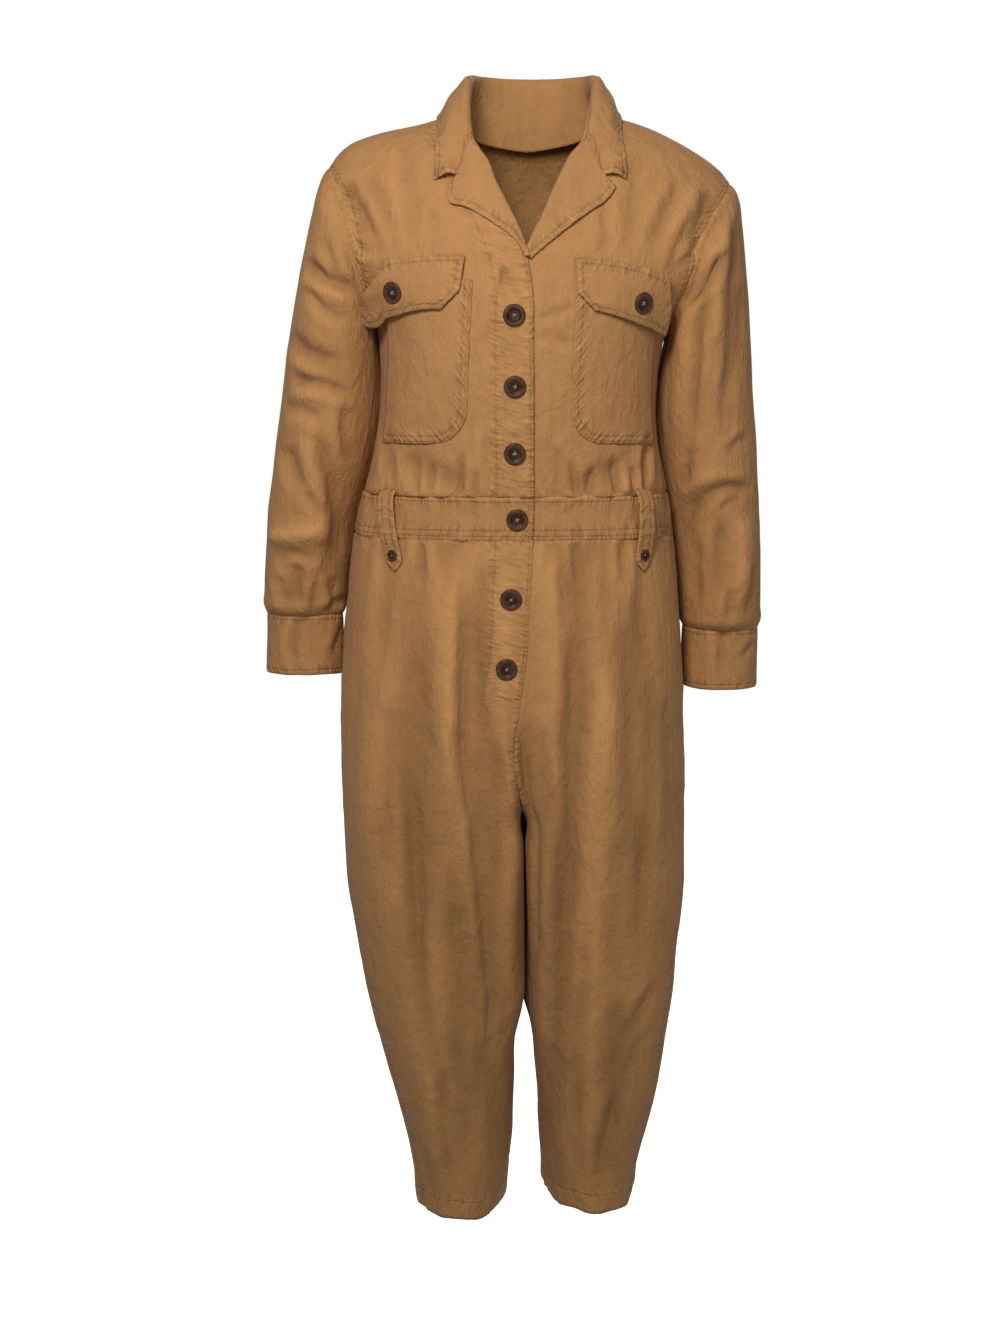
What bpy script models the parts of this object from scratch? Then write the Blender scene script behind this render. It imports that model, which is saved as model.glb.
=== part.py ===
"""Boiler suit in cotton twill, standing in its worn form and open at neck, cuffs and hems.

Metres, +Z up, front towards -Y. The origin is level with the top of the shoulders at the middle
of the neck, where the wearer's shoulders carry the suit. "Right" and "left" are the wearer's.
Every cloth piece is an open grid of points given thickness by a Solidify modifier, whose outer
face is the grid. Lengths in the tables are metres, and heights are z.
"""
import math

import bpy
import numpy as np
from mathutils import Vector

# ---------------------------------------------------------------- driving sizes
CLOTH = 0.0016              # thickness of one layer of cloth
SEAM_GAP = 0.0006           # space left between two pieces at a seam
LAYER_GAP = 0.0008          # space left under a piece that lies on another
ROUNDNESS = 2.3             # power of the body's oval sections, 2 being an ellipse
INNER_ROUNDNESS = 3.2       # the same for the inner half of a leg, which is fuller

SHOULDER_TIP = (0.2140, -0.0530)     # x and z where shoulder seam and sleeve meet
UNDERARM = (0.1570, -0.2150)         # x and z of the bottom of the armhole
ARMHOLE_HALF_DEPTH = 0.0740          # half of the armhole, front to back
ARMHOLE_GAP = 0.0008                 # space left between armhole and sleeve

WAIST_TOP, WAIST_BOTTOM = -0.3930, -0.4370
BREAK_Z = -0.1430                    # where the lapels meet
FLY_END_Z = -0.6060
FLY_CLEAR = 0.0030                   # the fly's end stands this far over the middle seam
CROTCH_Z = -0.7350
HEM_Z = {"right": -1.2310, "left": -1.2225}
HEM_RISE_INNER, HEM_RISE_OUTER = 0.0140, 0.0060     # how much higher the hem is at a leg's sides
HEM_SPAN = (-1.1000, -1.2370)        # heights over which the hem's own shape grows
HEM_WAVE = 0.0050                    # height of the hem's waves
HEM_WAVES = 3                        # waves round one leg
LEG_TWIST = 0.0110                   # sideways lean of the legs' inner sides, front and back

SWAY_INNER, SWAY_OUTER = 0.0400, 0.0160     # how far back a leg's two sides lie at the hem
SWAY_SPAN = (-0.9800, -1.1900)       # heights over which that grows

CUFF_TOP, CUFF_BOTTOM = -0.5374, -0.6040
CUFF_HALF = (0.0412, 0.0350)         # half width and half depth of a cuff
CUFF_CENTRE = (0.2362, 0.0120)       # x and y of its middle

FRONT_LIFT = 0.0030                  # how far the upper front stands off the lower one
WRAP = 0.0380                        # width of the overlap at the front

BUTTON_RADIUS = 0.0115
SMALL_BUTTON_RADIUS = 0.0064

SIDES = {"right": -1, "left": 1}     # wearer's side and the sign of its x

TAN = (0.46, 0.27, 0.13)
TAN_SHADE = (0.40, 0.23, 0.11)
HORN = (0.055, 0.022, 0.012)


# ---------------------------------------------------------------- tables and curves
def table(columns, *rows):
    """Named columns of a short table, each as an array."""
    return {name: np.array(column) for name, column in zip(columns.split(), zip(*rows))}


def curve_through(at, places, values):
    """Smooth curve through a table's values: a cubic between rows, level beyond the ends."""
    order = np.argsort(places)
    places, values = places[order], values[order]
    slopes = np.gradient(values, places)
    at = np.clip(at, places[0], places[-1])
    row = np.clip(np.searchsorted(places, at) - 1, 0, len(places) - 2)
    gap = places[row + 1] - places[row]
    t = (at - places[row]) / gap
    return (
        values[row] * (2 * t**3 - 3 * t**2 + 1)
        + values[row + 1] * (3 * t**2 - 2 * t**3)
        + gap * slopes[row] * (t**3 - 2 * t**2 + t)
        + gap * slopes[row + 1] * (t**3 - t**2)
    )


def ramp(value, start, end):
    """Smooth step from 0 at start to 1 at end."""
    t = np.clip((value - start) / (end - start), 0.0, 1.0)
    return t * t * (3 - 2 * t)


# Body sections from the neck to the waistband: half width and depth to front and to back.
BODY = table(
    "z side front back",
    (0.0120, 0.0680, 0.0060, 0.0060),
    (0.0080, 0.0820, 0.0150, 0.0165),
    (0.0030, 0.1000, 0.0250, 0.0280),
    (-0.0030, 0.1220, 0.0355, 0.0400),
    (-0.0105, 0.1450, 0.0460, 0.0510),
    (-0.0200, 0.1700, 0.0570, 0.0620),
    (-0.0300, 0.1900, 0.0670, 0.0710),
    (-0.0415, 0.2050, 0.0755, 0.0785),
    (-0.0530, 0.2140, 0.0810, 0.0850),
    (-0.0720, 0.2300, 0.0895, 0.0925),
    (-0.0950, 0.2380, 0.0980, 0.0995),
    (-0.1200, 0.2320, 0.1060, 0.1050),
    (-0.1450, 0.2150, 0.1140, 0.1090),
    (-0.1700, 0.1930, 0.1200, 0.1120),
    (-0.1950, 0.1690, 0.1245, 0.1130),
    (-0.2150, 0.1575, 0.1265, 0.1125),
    (-0.2500, 0.1515, 0.1270, 0.1100),
    (-0.2900, 0.1500, 0.1250, 0.1045),
    (-0.3350, 0.1545, 0.1215, 0.0975),
    (-0.3800, 0.1640, 0.1180, 0.0925),
    (-0.4070, 0.1705, 0.1160, 0.0920),
    (-0.4370, 0.1760, 0.1170, 0.0950),
)

# Leg sections: outer side, middle of the leg, and depth to front and to back of the middle.
LEG = table(
    "z outer middle front back",
    (-0.4370, 0.1760, 0.0000, 0.1170, 0.0950),
    (-0.4750, 0.1810, 0.0040, 0.1240, 0.1060),
    (-0.5140, 0.1850, 0.0100, 0.1290, 0.1170),
    (-0.5600, 0.1890, 0.0200, 0.1320, 0.1270),
    (-0.6050, 0.1915, 0.0340, 0.1330, 0.1330),
    (-0.6450, 0.1930, 0.0540, 0.1320, 0.1350),
    (-0.6800, 0.1940, 0.0740, 0.1300, 0.1340),
    (-0.7100, 0.1945, 0.0900, 0.1275, 0.1310),
    (-0.7350, 0.1945, 0.0979, 0.1250, 0.1280),
    (-0.7800, 0.1940, 0.0977, 0.1190, 0.1220),
    (-0.8400, 0.1925, 0.0970, 0.1120, 0.1150),
    (-0.9020, 0.1850, 0.0933, 0.1040, 0.1080),
    (-0.9700, 0.1770, 0.0900, 0.0970, 0.1010),
    (-1.0300, 0.1660, 0.0888, 0.0900, 0.0945),
    (-1.0900, 0.1550, 0.0846, 0.0830, 0.0880),
    (-1.1400, 0.1445, 0.0804, 0.0770, 0.0820),
    (-1.1770, 0.1375, 0.0774, 0.0730, 0.0780),
    (-1.2100, 0.1325, 0.0768, 0.0700, 0.0750),
    (-1.2450, 0.1290, 0.0764, 0.0680, 0.0730),
)

# Side seam of the leg: angle from the front of the section, in degrees.
LEG_SEAM = table("z angle", (-0.437, 90.0), (-0.620, 86.0), (-0.900, 66.0), (-1.245, 54.0))

# Roll lines, from the neck down to where each front's own edge begins. x is across the body.
ROLL_RIGHT = table(
    "z x",
    (0.0140, -0.0720), (-0.0050, -0.0655), (-0.0300, -0.0560), (-0.0500, -0.0480),
    (-0.0700, -0.0390), (-0.0900, -0.0290), (-0.1100, -0.0170), (-0.1300, -0.0030),
    (-0.1430, 0.0060),
)
ROLL_LEFT = table(
    "z x",
    (0.0140, 0.0720), (-0.0050, 0.0665), (-0.0300, 0.0575), (-0.0500, 0.0505),
    (-0.0700, 0.0430), (-0.0900, 0.0345), (-0.1100, 0.0250), (-0.1300, 0.0135),
    (-0.1430, 0.0050), (-0.1600, -0.0090), (-0.1800, -0.0240),
)
# Free edge of the upper front, from the break to the end of the fly.
FRONT_EDGE = table(
    "z x",
    (-0.1430, 0.0060), (-0.2080, 0.0110), (-0.2800, 0.0140), (-0.3500, 0.0165),
    (-0.4170, 0.0185), (-0.5000, 0.0165), (-0.5700, 0.0125), (-0.6060, 0.0070),
)

# Sleeve sections: outer and inner end of each, half depth, and y of its middle and inner end.
SLEEVE = table(
    "outer_x outer_z inner_x inner_z half_depth middle_y inner_y",
    (0.2255, -0.0730, 0.1588, -0.2240, 0.0750, 0.0000, 0.0000),
    (0.2310, -0.0980, 0.1575, -0.2330, 0.0755, 0.0010, 0.0040),
    (0.2370, -0.1290, 0.1555, -0.2450, 0.0755, 0.0020, 0.0100),
    (0.2430, -0.1650, 0.1530, -0.2610, 0.0750, 0.0040, 0.0180),
    (0.2490, -0.2060, 0.1510, -0.2820, 0.0740, 0.0060, 0.0260),
    (0.2550, -0.2500, 0.1495, -0.3070, 0.0725, 0.0080, 0.0320),
    (0.2610, -0.2970, 0.1525, -0.3380, 0.0700, 0.0100, 0.0380),
    (0.2670, -0.3450, 0.1620, -0.3740, 0.0675, 0.0110, 0.0400),
    (0.2720, -0.3920, 0.1725, -0.4120, 0.0645, 0.0120, 0.0380),
    (0.2760, -0.4360, 0.1805, -0.4500, 0.0605, 0.0120, 0.0330),
    (0.2785, -0.4760, 0.1855, -0.4870, 0.0560, 0.0120, 0.0260),
    (0.2795, -0.5120, 0.1885, -0.5180, 0.0500, 0.0120, 0.0180),
    (0.2790, -0.5290, 0.1925, -0.5310, 0.0430, 0.0120, 0.0140),
    (0.2775, -0.5366, 0.1950, -0.5366, 0.0360, 0.0120, 0.0120),
)

# Collar sections, from the front end round to the middle of the back, for one side:
# the top of its roll, the middle of its fall and its free edge.
COLLAR = table(
    "share roll_x roll_y roll_z fall_x fall_y fall_z edge_x edge_y edge_z",
    (0.00, 0.0535, -0.0640, -0.0250, 0.0690, -0.0800, -0.0600, 0.0990, -0.0800, -0.0630),
    (0.14, 0.0590, -0.0500, 0.0000, 0.0790, -0.0690, -0.0360, 0.0990, -0.0700, -0.0540),
    (0.32, 0.0625, -0.0230, 0.0350, 0.0820, -0.0420, 0.0040, 0.0955, -0.0440, -0.0240),
    (0.50, 0.0620, 0.0080, 0.0510, 0.0800, 0.0040, 0.0290, 0.0915, 0.0080, 0.0000),
    (0.70, 0.0500, 0.0370, 0.0540, 0.0660, 0.0550, 0.0340, 0.0740, 0.0670, 0.0010),
    (0.85, 0.0270, 0.0490, 0.0535, 0.0350, 0.0710, 0.0340, 0.0380, 0.0840, -0.0050),
    (1.00, 0.0000, 0.0520, 0.0535, 0.0000, 0.0750, 0.0340, 0.0000, 0.0890, -0.0070),
)
COLLAR_FRONT_Z = -0.0350             # where the collar's front end leaves the neckline
SHOULDER_SHARE = 0.50                # share of the collar that is forward of the shoulder seam
COLLAR_ROLL_RADIUS = 0.0032
COLLAR_ROLL = table("out up", (0.0, -1.25), (0.35, 0.6), (1.65, 0.6), (2.0, -1.25))   # in radii
COLLAR_STAND_IN = 0.0005             # how far the stand's middle lies inside a straight line
COLLAR_BELLY = 0.0050                # how far the collar bows out between roll and middle
COLLAR_DROP = 0.0020                 # and at its middle
COLLAR_SHARES = np.array([0.0, 0.06, 0.14, 0.22, 0.31, 0.40, 0.50, 0.60, 0.70, 0.80, 0.90, 1.0])
COLLAR_INSIDE = 0.0500               # a line this far under the roll is inside the folded strip
COLLAR_LOFT = 0.0046                 # height of the collar's outer face over the shoulders

# Lapel outline from the gorge down to the break: share of the roll line, and the outer edge.
LAPEL = table(
    "share edge_x edge_z",
    (0.00, 0.0720, -0.0650),
    (0.14, 0.0845, -0.0780),
    (0.30, 0.0690, -0.0935),
    (0.60, 0.0420, -0.1160),
    (0.82, 0.0220, -0.1330),
    (1.00, 0.0080, -0.1450),
)

GORGE_Z = -0.0380                    # where collar and lapel meet on the roll line
LAPEL_SHARES = np.array([0.0, 0.07, 0.14, 0.24, 0.36, 0.50, 0.64, 0.78, 0.90, 1.0])
LAPEL_ACROSS = np.array([0.0, 0.12, 0.28, 0.46, 0.64, 0.82, 1.0])
LAPEL_HEIGHT, LAPEL_BELLY = 0.0020, 0.0032     # height over the front at its edge, and more at its roll
LAPEL_LEAN = 0.0140                  # how much nearer the middle the right lapel's lower edge is
LAPEL_LEAST = 0.0015                 # least width of a lapel
LAPEL_END_Z = {"right": -0.1430, "left": -0.1370}

# Stance: how far the suit leans to one side at each height.
STANCE = table(
    "z shift",
    (0.050, 0.0050), (0.000, 0.0010), (-0.070, 0.0015), (-0.110, -0.0010), (-0.180, -0.0050),
    (-0.290, -0.0100), (-0.380, -0.0125), (-0.440, -0.0143), (-0.750, -0.0143),
    (-0.840, -0.0120), (-0.970, -0.0065), (-1.090, 0.0000), (-1.245, 0.0000),
)
SIDE_DROP = 0.0085                   # how much lower the left shoulder and arm hang
SIDE_DROP_SPAN = (0.1100, 0.2000)    # distance from the middle over which that grows
ARM_SPAN = (0.1550, 0.2150)          # and over which it stays below the chest
CHEST_END = (-0.2500, -0.3600)       # heights over which the body's own drop ends
ARM_END = (-1.0000, -0.6400)         # heights over which the arm's begins, coming up

# Folds, as straight strokes seen from the front or the back. Depth is less than 0 for a trough.
FOLDS = table(
    "face x1 z1 x2 z2 width depth",
    ("front", -0.051, -0.443, -0.058, -0.610, 0.013, -0.0075),
    ("front", -0.058, -0.610, -0.044, -0.945, 0.014, -0.0080),
    ("front", -0.027, -0.470, -0.028, -0.640, 0.011, 0.0040),
    ("front", -0.086, -0.470, -0.084, -0.800, 0.017, 0.0045),
    ("front", -0.118, -0.560, -0.120, -0.960, 0.018, -0.0045),
    ("front", -0.075, -0.830, -0.070, -1.170, 0.015, -0.0050),
    ("front", -0.006, -0.640, -0.004, -0.960, 0.010, -0.0070),
    ("front", 0.052, -0.450, 0.056, -0.720, 0.015, -0.0045),
    ("front", 0.080, -0.600, 0.070, -1.000, 0.018, 0.0050),
    ("front", 0.110, -0.520, 0.118, -0.900, 0.017, -0.0045),
    ("front", 0.035, -0.760, 0.038, -1.130, 0.013, -0.0045),
    ("front", 0.105, -0.960, 0.086, -1.200, 0.014, -0.0050),
    ("front", -0.190, -0.068, -0.164, -0.138, 0.009, -0.0045),
    ("front", 0.190, -0.080, 0.166, -0.145, 0.009, -0.0045),
    ("front", -0.130, -0.352, -0.060, -0.384, 0.012, -0.0030),
    ("front", 0.050, -0.384, 0.112, -0.350, 0.012, -0.0030),
    ("back", -0.185, -0.085, -0.130, -0.190, 0.013, -0.0050),
    ("back", 0.185, -0.090, 0.130, -0.200, 0.013, -0.0050),
    ("back", -0.060, -0.190, -0.070, -0.380, 0.016, -0.0040),
    ("back", 0.055, -0.210, 0.058, -0.385, 0.016, -0.0040),
    ("back", -0.110, -0.330, -0.030, -0.376, 0.011, -0.0035),
    ("back", 0.100, -0.335, 0.020, -0.378, 0.011, -0.0035),
    ("back", -0.060, -0.450, -0.088, -0.640, 0.015, -0.0050),
    ("back", 0.050, -0.450, 0.075, -0.650, 0.015, -0.0050),
    ("back", -0.150, -0.700, -0.030, -0.775, 0.014, -0.0060),
    ("back", 0.130, -0.705, 0.010, -0.780, 0.014, -0.0060),
    ("back", -0.105, -0.790, -0.090, -1.110, 0.016, -0.0050),
    ("back", 0.095, -0.800, 0.084, -1.130, 0.016, -0.0050),
    ("back", -0.060, -0.950, -0.066, -1.200, 0.014, 0.0040),
    ("back", 0.050, -0.960, 0.056, -1.190, 0.014, 0.0040),
)

FOLD_FACING = (0.05, 0.60)           # how squarely cloth faces that side, from no fold to all of it

SLEEVE_FOLDS = table(
    "face x1 z1 x2 z2 width depth",
    ("front", -0.218, -0.155, -0.172, -0.185, 0.011, -0.0060),
    ("front", -0.253, -0.226, -0.190, -0.254, 0.011, -0.0050),
    ("front", -0.243, -0.276, -0.186, -0.285, 0.010, -0.0050),
    ("front", -0.262, -0.345, -0.243, -0.392, 0.010, -0.0040),
    ("front", -0.224, -0.340, -0.206, -0.440, 0.011, -0.0050),
    ("front", -0.206, -0.440, -0.226, -0.480, 0.010, -0.0045),
    ("front", -0.282, -0.442, -0.214, -0.434, 0.010, 0.0045),
    ("front", -0.250, -0.470, -0.255, -0.520, 0.009, -0.0040),
    ("front", 0.219, -0.120, 0.216, -0.200, 0.010, -0.0045),
    ("front", 0.216, -0.200, 0.208, -0.325, 0.011, -0.0045),
    ("front", 0.186, -0.190, 0.174, -0.335, 0.009, -0.0045),
    ("front", 0.199, -0.155, 0.160, -0.197, 0.010, -0.0055),
    ("front", 0.239, -0.386, 0.200, -0.380, 0.010, -0.0045),
    ("front", 0.200, -0.380, 0.176, -0.430, 0.010, -0.0045),
    ("front", 0.236, -0.420, 0.232, -0.520, 0.012, 0.0040),
    ("back", -0.232, -0.130, -0.180, -0.200, 0.013, -0.0055),
    ("back", -0.258, -0.300, -0.190, -0.320, 0.012, -0.0050),
    ("back", -0.262, -0.345, -0.200, -0.385, 0.011, -0.0045),
    ("back", -0.250, -0.400, -0.240, -0.520, 0.012, 0.0040),
    ("back", 0.236, -0.135, 0.186, -0.210, 0.013, -0.0055),
    ("back", 0.246, -0.310, 0.176, -0.330, 0.012, -0.0050),
    ("back", 0.250, -0.360, 0.190, -0.395, 0.011, -0.0045),
    ("back", 0.226, -0.410, 0.218, -0.520, 0.012, 0.0040),
)


# ---------------------------------------------------------------- stance and folds
def stance(points):
    """Points of the straight suit moved to its leaning stance."""
    x, y, z = np.moveaxis(np.asarray(points, dtype=float), -1, 0)
    shift = curve_through(z, STANCE["z"], STANCE["shift"])
    on_arm = ramp(np.abs(x), *ARM_SPAN) * ramp(z, *ARM_END)
    below_chest = ramp(z, *CHEST_END) * (1 - on_arm)
    drop = SIDE_DROP * np.sign(x) * ramp(np.abs(x), *SIDE_DROP_SPAN) * (1 - below_chest)
    return np.stack([x + shift, y, z - drop], axis=-1)


def fold_height(points, normals, folds):
    """Height of the folds at points: each is a soft stroke, fading at both of its ends."""
    x, _, z = np.moveaxis(stance(points), -1, 0)
    height = np.zeros(x.shape)
    for row in range(len(folds["x1"])):
        facing = -1 if folds["face"][row] == "front" else 1
        start = np.array([folds["x1"][row], folds["z1"][row]], dtype=float)
        run = np.array([folds["x2"][row], folds["z2"][row]], dtype=float) - start
        along = ((x - start[0]) * run[0] + (z - start[1]) * run[1]) / (run @ run)
        on_line = np.clip(along, 0.0, 1.0)
        away = np.hypot(x - start[0] - on_line * run[0], z - start[1] - on_line * run[1])
        stroke = np.exp(-((away / float(folds["width"][row])) ** 2))
        depth = float(folds["depth"][row])
        height += depth * stroke * ramp(normals[..., 1] * facing, *FOLD_FACING)
    return height


# ---------------------------------------------------------------- the body's form
def outside(points):
    """How far points lie outside the body's form, as a share of its section."""
    x, y, z = np.moveaxis(points, -1, 0)
    side = curve_through(z, BODY["z"], BODY["side"])
    depth = np.where(
        y < 0, curve_through(z, BODY["z"], BODY["front"]), curve_through(z, BODY["z"], BODY["back"])
    )
    return (np.abs(x / side) ** ROUNDNESS + np.abs(y / depth) ** ROUNDNESS) ** (1 / ROUNDNESS) - 1


def gradient(points):
    """Slope of outside() at points."""
    step = 0.0004
    slopes = []
    for axis in range(3):
        move = np.zeros(3)
        move[axis] = step
        slopes.append((outside(points + move) - outside(points - move)) / (2 * step))
    return np.stack(slopes, axis=-1)


def unit(vectors):
    return vectors / np.maximum(np.linalg.norm(vectors, axis=-1, keepdims=True), 1e-9)


def section_point(side, depth, angle, middle=0.0):
    """Point of an oval section: angle 0 is its front, 90 degrees its outer side."""
    sine, cosine = np.sin(angle), np.cos(angle)
    x = middle + side * np.sign(sine) * np.abs(sine) ** (2 / ROUNDNESS)
    y = -depth * np.sign(cosine) * oval(x_share(sine))
    return x, y


def x_share(sine):
    """Share of the half width at the sine of an angle."""
    return np.abs(sine) ** (2 / ROUNDNESS)


def oval(share, power=ROUNDNESS):
    """Depth of an oval, as a share of its half depth, at a share of its half width."""
    return (1 - np.clip(share, 0.0, 1.0) ** power) ** (1 / power)


def angle_at(share):
    """Angle whose point lies at this share of an oval section's half width."""
    return np.sign(share) * np.arcsin(np.clip(np.abs(share), 0.0, 1.0) ** (ROUNDNESS / 2))


def armhole_depth(z):
    """Half depth of the armhole at a height: an oval from the shoulder tip to the underarm."""
    middle = (SHOULDER_TIP[1] + UNDERARM[1]) / 2
    half = (SHOULDER_TIP[1] - UNDERARM[1]) / 2
    rise = np.clip((z - middle) / half, -1.0, 1.0)
    return ARMHOLE_HALF_DEPTH * np.sqrt(1 - rise**2)


def outer_angle(z, face):
    """Angle where a front or back ends: shoulder seam, armhole or side seam."""
    depth = curve_through(z, BODY["z"], BODY[face])
    share = np.clip(armhole_depth(z) / depth, 0.0, 1.0)
    return np.arccos(share ** (ROUNDNESS / 2))


def body_grid(side_sign, z, angle, face):
    """Body form at heights and angles, with its normals."""
    side = curve_through(z, BODY["z"], BODY["side"])
    depth = curve_through(z, BODY["z"], BODY[face])
    x, y = section_point(side, depth if face == "front" else -depth, angle)
    points = np.stack([side_sign * x, y, z + np.zeros_like(x)], axis=-1)
    return points, unit(gradient(points))


def lay_on_body(x, z, height):
    """Points on the front of the body at (x, z), moved out by height along its normal."""
    side = curve_through(z, BODY["z"], BODY["side"])
    depth = curve_through(z, BODY["z"], BODY["front"])
    share = np.clip(np.abs(x / side), 0.0, 0.9999)
    y = -depth * oval(share)
    points = np.stack([x, y, z], axis=-1)
    normals = unit(gradient(points))
    return points + normals * (height + fold_height(points, normals, FOLDS))[..., None], normals


def clear_of_body(points, clearance):
    """Points pushed out of the body's form until they are this far outside it."""
    for _ in range(4):
        slope = gradient(points)
        size = np.linalg.norm(slope, axis=-1)
        distance = outside(points) / size
        push = np.maximum(clearance - distance, 0.0)
        points = points + (slope / size[..., None]) * push[..., None]
    return points


# ---------------------------------------------------------------- making objects
def new_material(name, colour, roughness, metallic=0.0):
    material = bpy.data.materials.new(name)
    material.use_nodes = True
    shader = material.node_tree.nodes["Principled BSDF"]
    shader.inputs["Base Color"].default_value = (*colour, 1.0)
    shader.inputs["Roughness"].default_value = roughness
    shader.inputs["Metallic"].default_value = metallic
    return material


def clear_scene():
    for item in list(bpy.data.objects):
        bpy.data.objects.remove(item, do_unlink=True)


def quads_of(rows, columns, closed):
    """Corner numbers of the quads of a grid, which may close on itself across."""
    across = columns if closed else columns - 1
    row, column = np.meshgrid(np.arange(rows - 1), np.arange(across), indexing="ij")
    following = (column + 1) % columns
    corners = [
        row * columns + column,
        row * columns + following,
        (row + 1) * columns + following,
        (row + 1) * columns + column,
    ]
    return np.stack(corners, axis=-1).reshape(-1, 4)


def grid_normals(points, closed=False):
    """Normals of a grid from its rows and columns, either way out."""
    if closed:
        across = np.roll(points, -1, axis=1) - np.roll(points, 1, axis=1)
    else:
        across = np.gradient(points, axis=1)
    return unit(np.cross(across, np.gradient(points, axis=0)))


def cloth_piece(name, points, axis, material, closed=False, thickness=CLOTH):
    """Grid of cloth, its outer face away from axis, given its thickness inwards."""
    normals = grid_normals(points, closed)
    if np.sum(normals * (points - axis)) < 0:
        points = points[:, ::-1]
    rows, columns = points.shape[:2]
    quads = quads_of(rows, columns, closed)[:, ::-1]
    posed = stance(points).reshape(-1, 3)
    mesh = bpy.data.meshes.new(name)
    mesh.from_pydata(posed.tolist(), [], quads.tolist())
    face = mesh.polygons[0]
    corner = posed[list(face.vertices)]
    turned = np.cross(corner[1] - corner[0], corner[2] - corner[1])
    if turned @ grid_normals(points, closed)[0, 0] < 0:
        mesh.flip_normals()
    mesh.materials.append(material)
    mesh.shade_smooth()
    piece = bpy.data.objects.new(name, mesh)
    bpy.data.collections["boiler_suit"].objects.link(piece)
    wall = piece.modifiers.new("Wall", "SOLIDIFY")
    wall.thickness = thickness
    wall.offset = -1.0
    wall.use_even_offset = False
    return piece


# ---------------------------------------------------------------- bodice
BODICE_ROWS = np.concatenate([
    [0.0090, 0.0010, -0.0090, -0.0190, -0.0300, -0.0415],
    [SHOULDER_TIP[1], -0.0660, -0.0820, -0.1020, -0.1230, -0.1430],
    [-0.1620, -0.1800, -0.1960, -0.2080, -0.2150, -0.2240],
    np.linspace(-0.2450, WAIST_TOP + SEAM_GAP, 6),
])
FRONT_COLUMNS = 14
BACK_COLUMNS = 21
MIDDLE_Y = 0.0100            # middle of the body, front to back
LIFT_ACROSS = (0.0550, 0.0320)       # distance right of the middle over which the overlap rises
LIFT_DOWN = (-0.0950, -0.1280)       # heights over which it does
BACK_NECK_DROP = 0.0225      # how much lower the neck edge is at the middle of the back
BACK_NECK_SPREAD = 0.8       # how far its columns close up towards the middle
BACK_DROP_SPAN = (-0.2000, BODICE_ROWS[0])
BACK_SPREAD_SPAN = (-0.0600, BODICE_ROWS[0])


def front_inner_x(side_name, z):
    """Inner edge of a front: its roll line, then its own free edge."""
    edge = curve_through(z, FRONT_EDGE["z"], FRONT_EDGE["x"])
    if side_name == "right":
        return np.where(z > BREAK_Z, curve_through(z, ROLL_RIGHT["z"], ROLL_RIGHT["x"]), edge)
    under = edge - WRAP
    roll = curve_through(z, ROLL_LEFT["z"], ROLL_LEFT["x"])
    return np.where(z > ROLL_LEFT["z"].min(), roll, under)


def overlap_lift(x, z):
    """Height of the upper front where it lies over the lower one."""
    return FRONT_LIFT * ramp(-x, *LIFT_ACROSS) * ramp(z, *LIFT_DOWN)


def bodice_front(side_name, z, share):
    """Front at heights and shares of its width, from the inner edge to the outer one."""
    sign = SIDES[side_name]
    side = curve_through(z, BODY["z"], BODY["side"])
    inner = angle_at(sign * front_inner_x(side_name, z) / side)
    outer = outer_angle(z, "front")
    points, normals = body_grid(sign, z, inner + (outer - inner) * share, "front")
    height = fold_height(points, normals, FOLDS)
    if side_name == "right":
        height = height + overlap_lift(points[..., 0], points[..., 2])
    seam = np.stack([0 * share, -SEAM_GAP / 2 * (share > 0.999), 0 * share], axis=-1)
    return points + normals * height[..., None] + seam


def body_axis(points):
    """Line up the middle of the body, level with each point."""
    return points * np.array([0.0, 0.0, 1.0]) + np.array([0.0, MIDDLE_Y, 0.0])


def make_front(side_name, material):
    z, share = np.meshgrid(BODICE_ROWS, np.linspace(0.0, 1.0, FRONT_COLUMNS), indexing="ij")
    points = bodice_front(side_name, z, share)
    cloth_piece(f"front_{side_name}", points, body_axis(points), material)


def bodice_back(z_row, share):
    """Back from one outer edge to the other: upper rows hang to the back of the neck."""
    away = np.abs(share)
    drop = BACK_NECK_DROP * ramp(z_row, *BACK_DROP_SPAN)
    spread = 1.0 + BACK_NECK_SPREAD * ramp(z_row, *BACK_SPREAD_SPAN)
    z = z_row - drop * (1 - away**2) ** 2
    angle = outer_angle(z_row, "back") * away**spread
    points, normals = body_grid(1, z, angle, "back")
    points[..., 0] *= np.sign(share)
    normals[..., 0] *= np.sign(share)
    points = points + normals * fold_height(points, normals, FOLDS)[..., None]
    points[..., 1] += SEAM_GAP / 2 * (away > 0.999)
    return points


def make_back(material):
    z, share = np.meshgrid(BODICE_ROWS, np.linspace(-1.0, 1.0, BACK_COLUMNS), indexing="ij")
    points = bodice_back(z, share)
    cloth_piece("back", points, body_axis(points), material)


# ---------------------------------------------------------------- sleeves and cuffs
CUFF_COLUMNS = 20
CUFF_FLARE = 0.010           # how much wider a cuff is at its bottom, as a share
CAP_REACH = 0.0070           # how far the sleeve head carries on from the shoulder before it falls
UNDERARM_REACH = 0.0025      # the same at the underarm
UNDERARM_OFF = (1.0, 0.0, -0.6)      # which way the sleeve leaves the body there
UNDERARM_SPAN = (-0.1650, -0.2000)   # heights over which that takes over
ARMHOLE_ROWS = BODICE_ROWS[(BODICE_ROWS <= SHOULDER_TIP[1]) & (BODICE_ROWS >= UNDERARM[1])]


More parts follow.
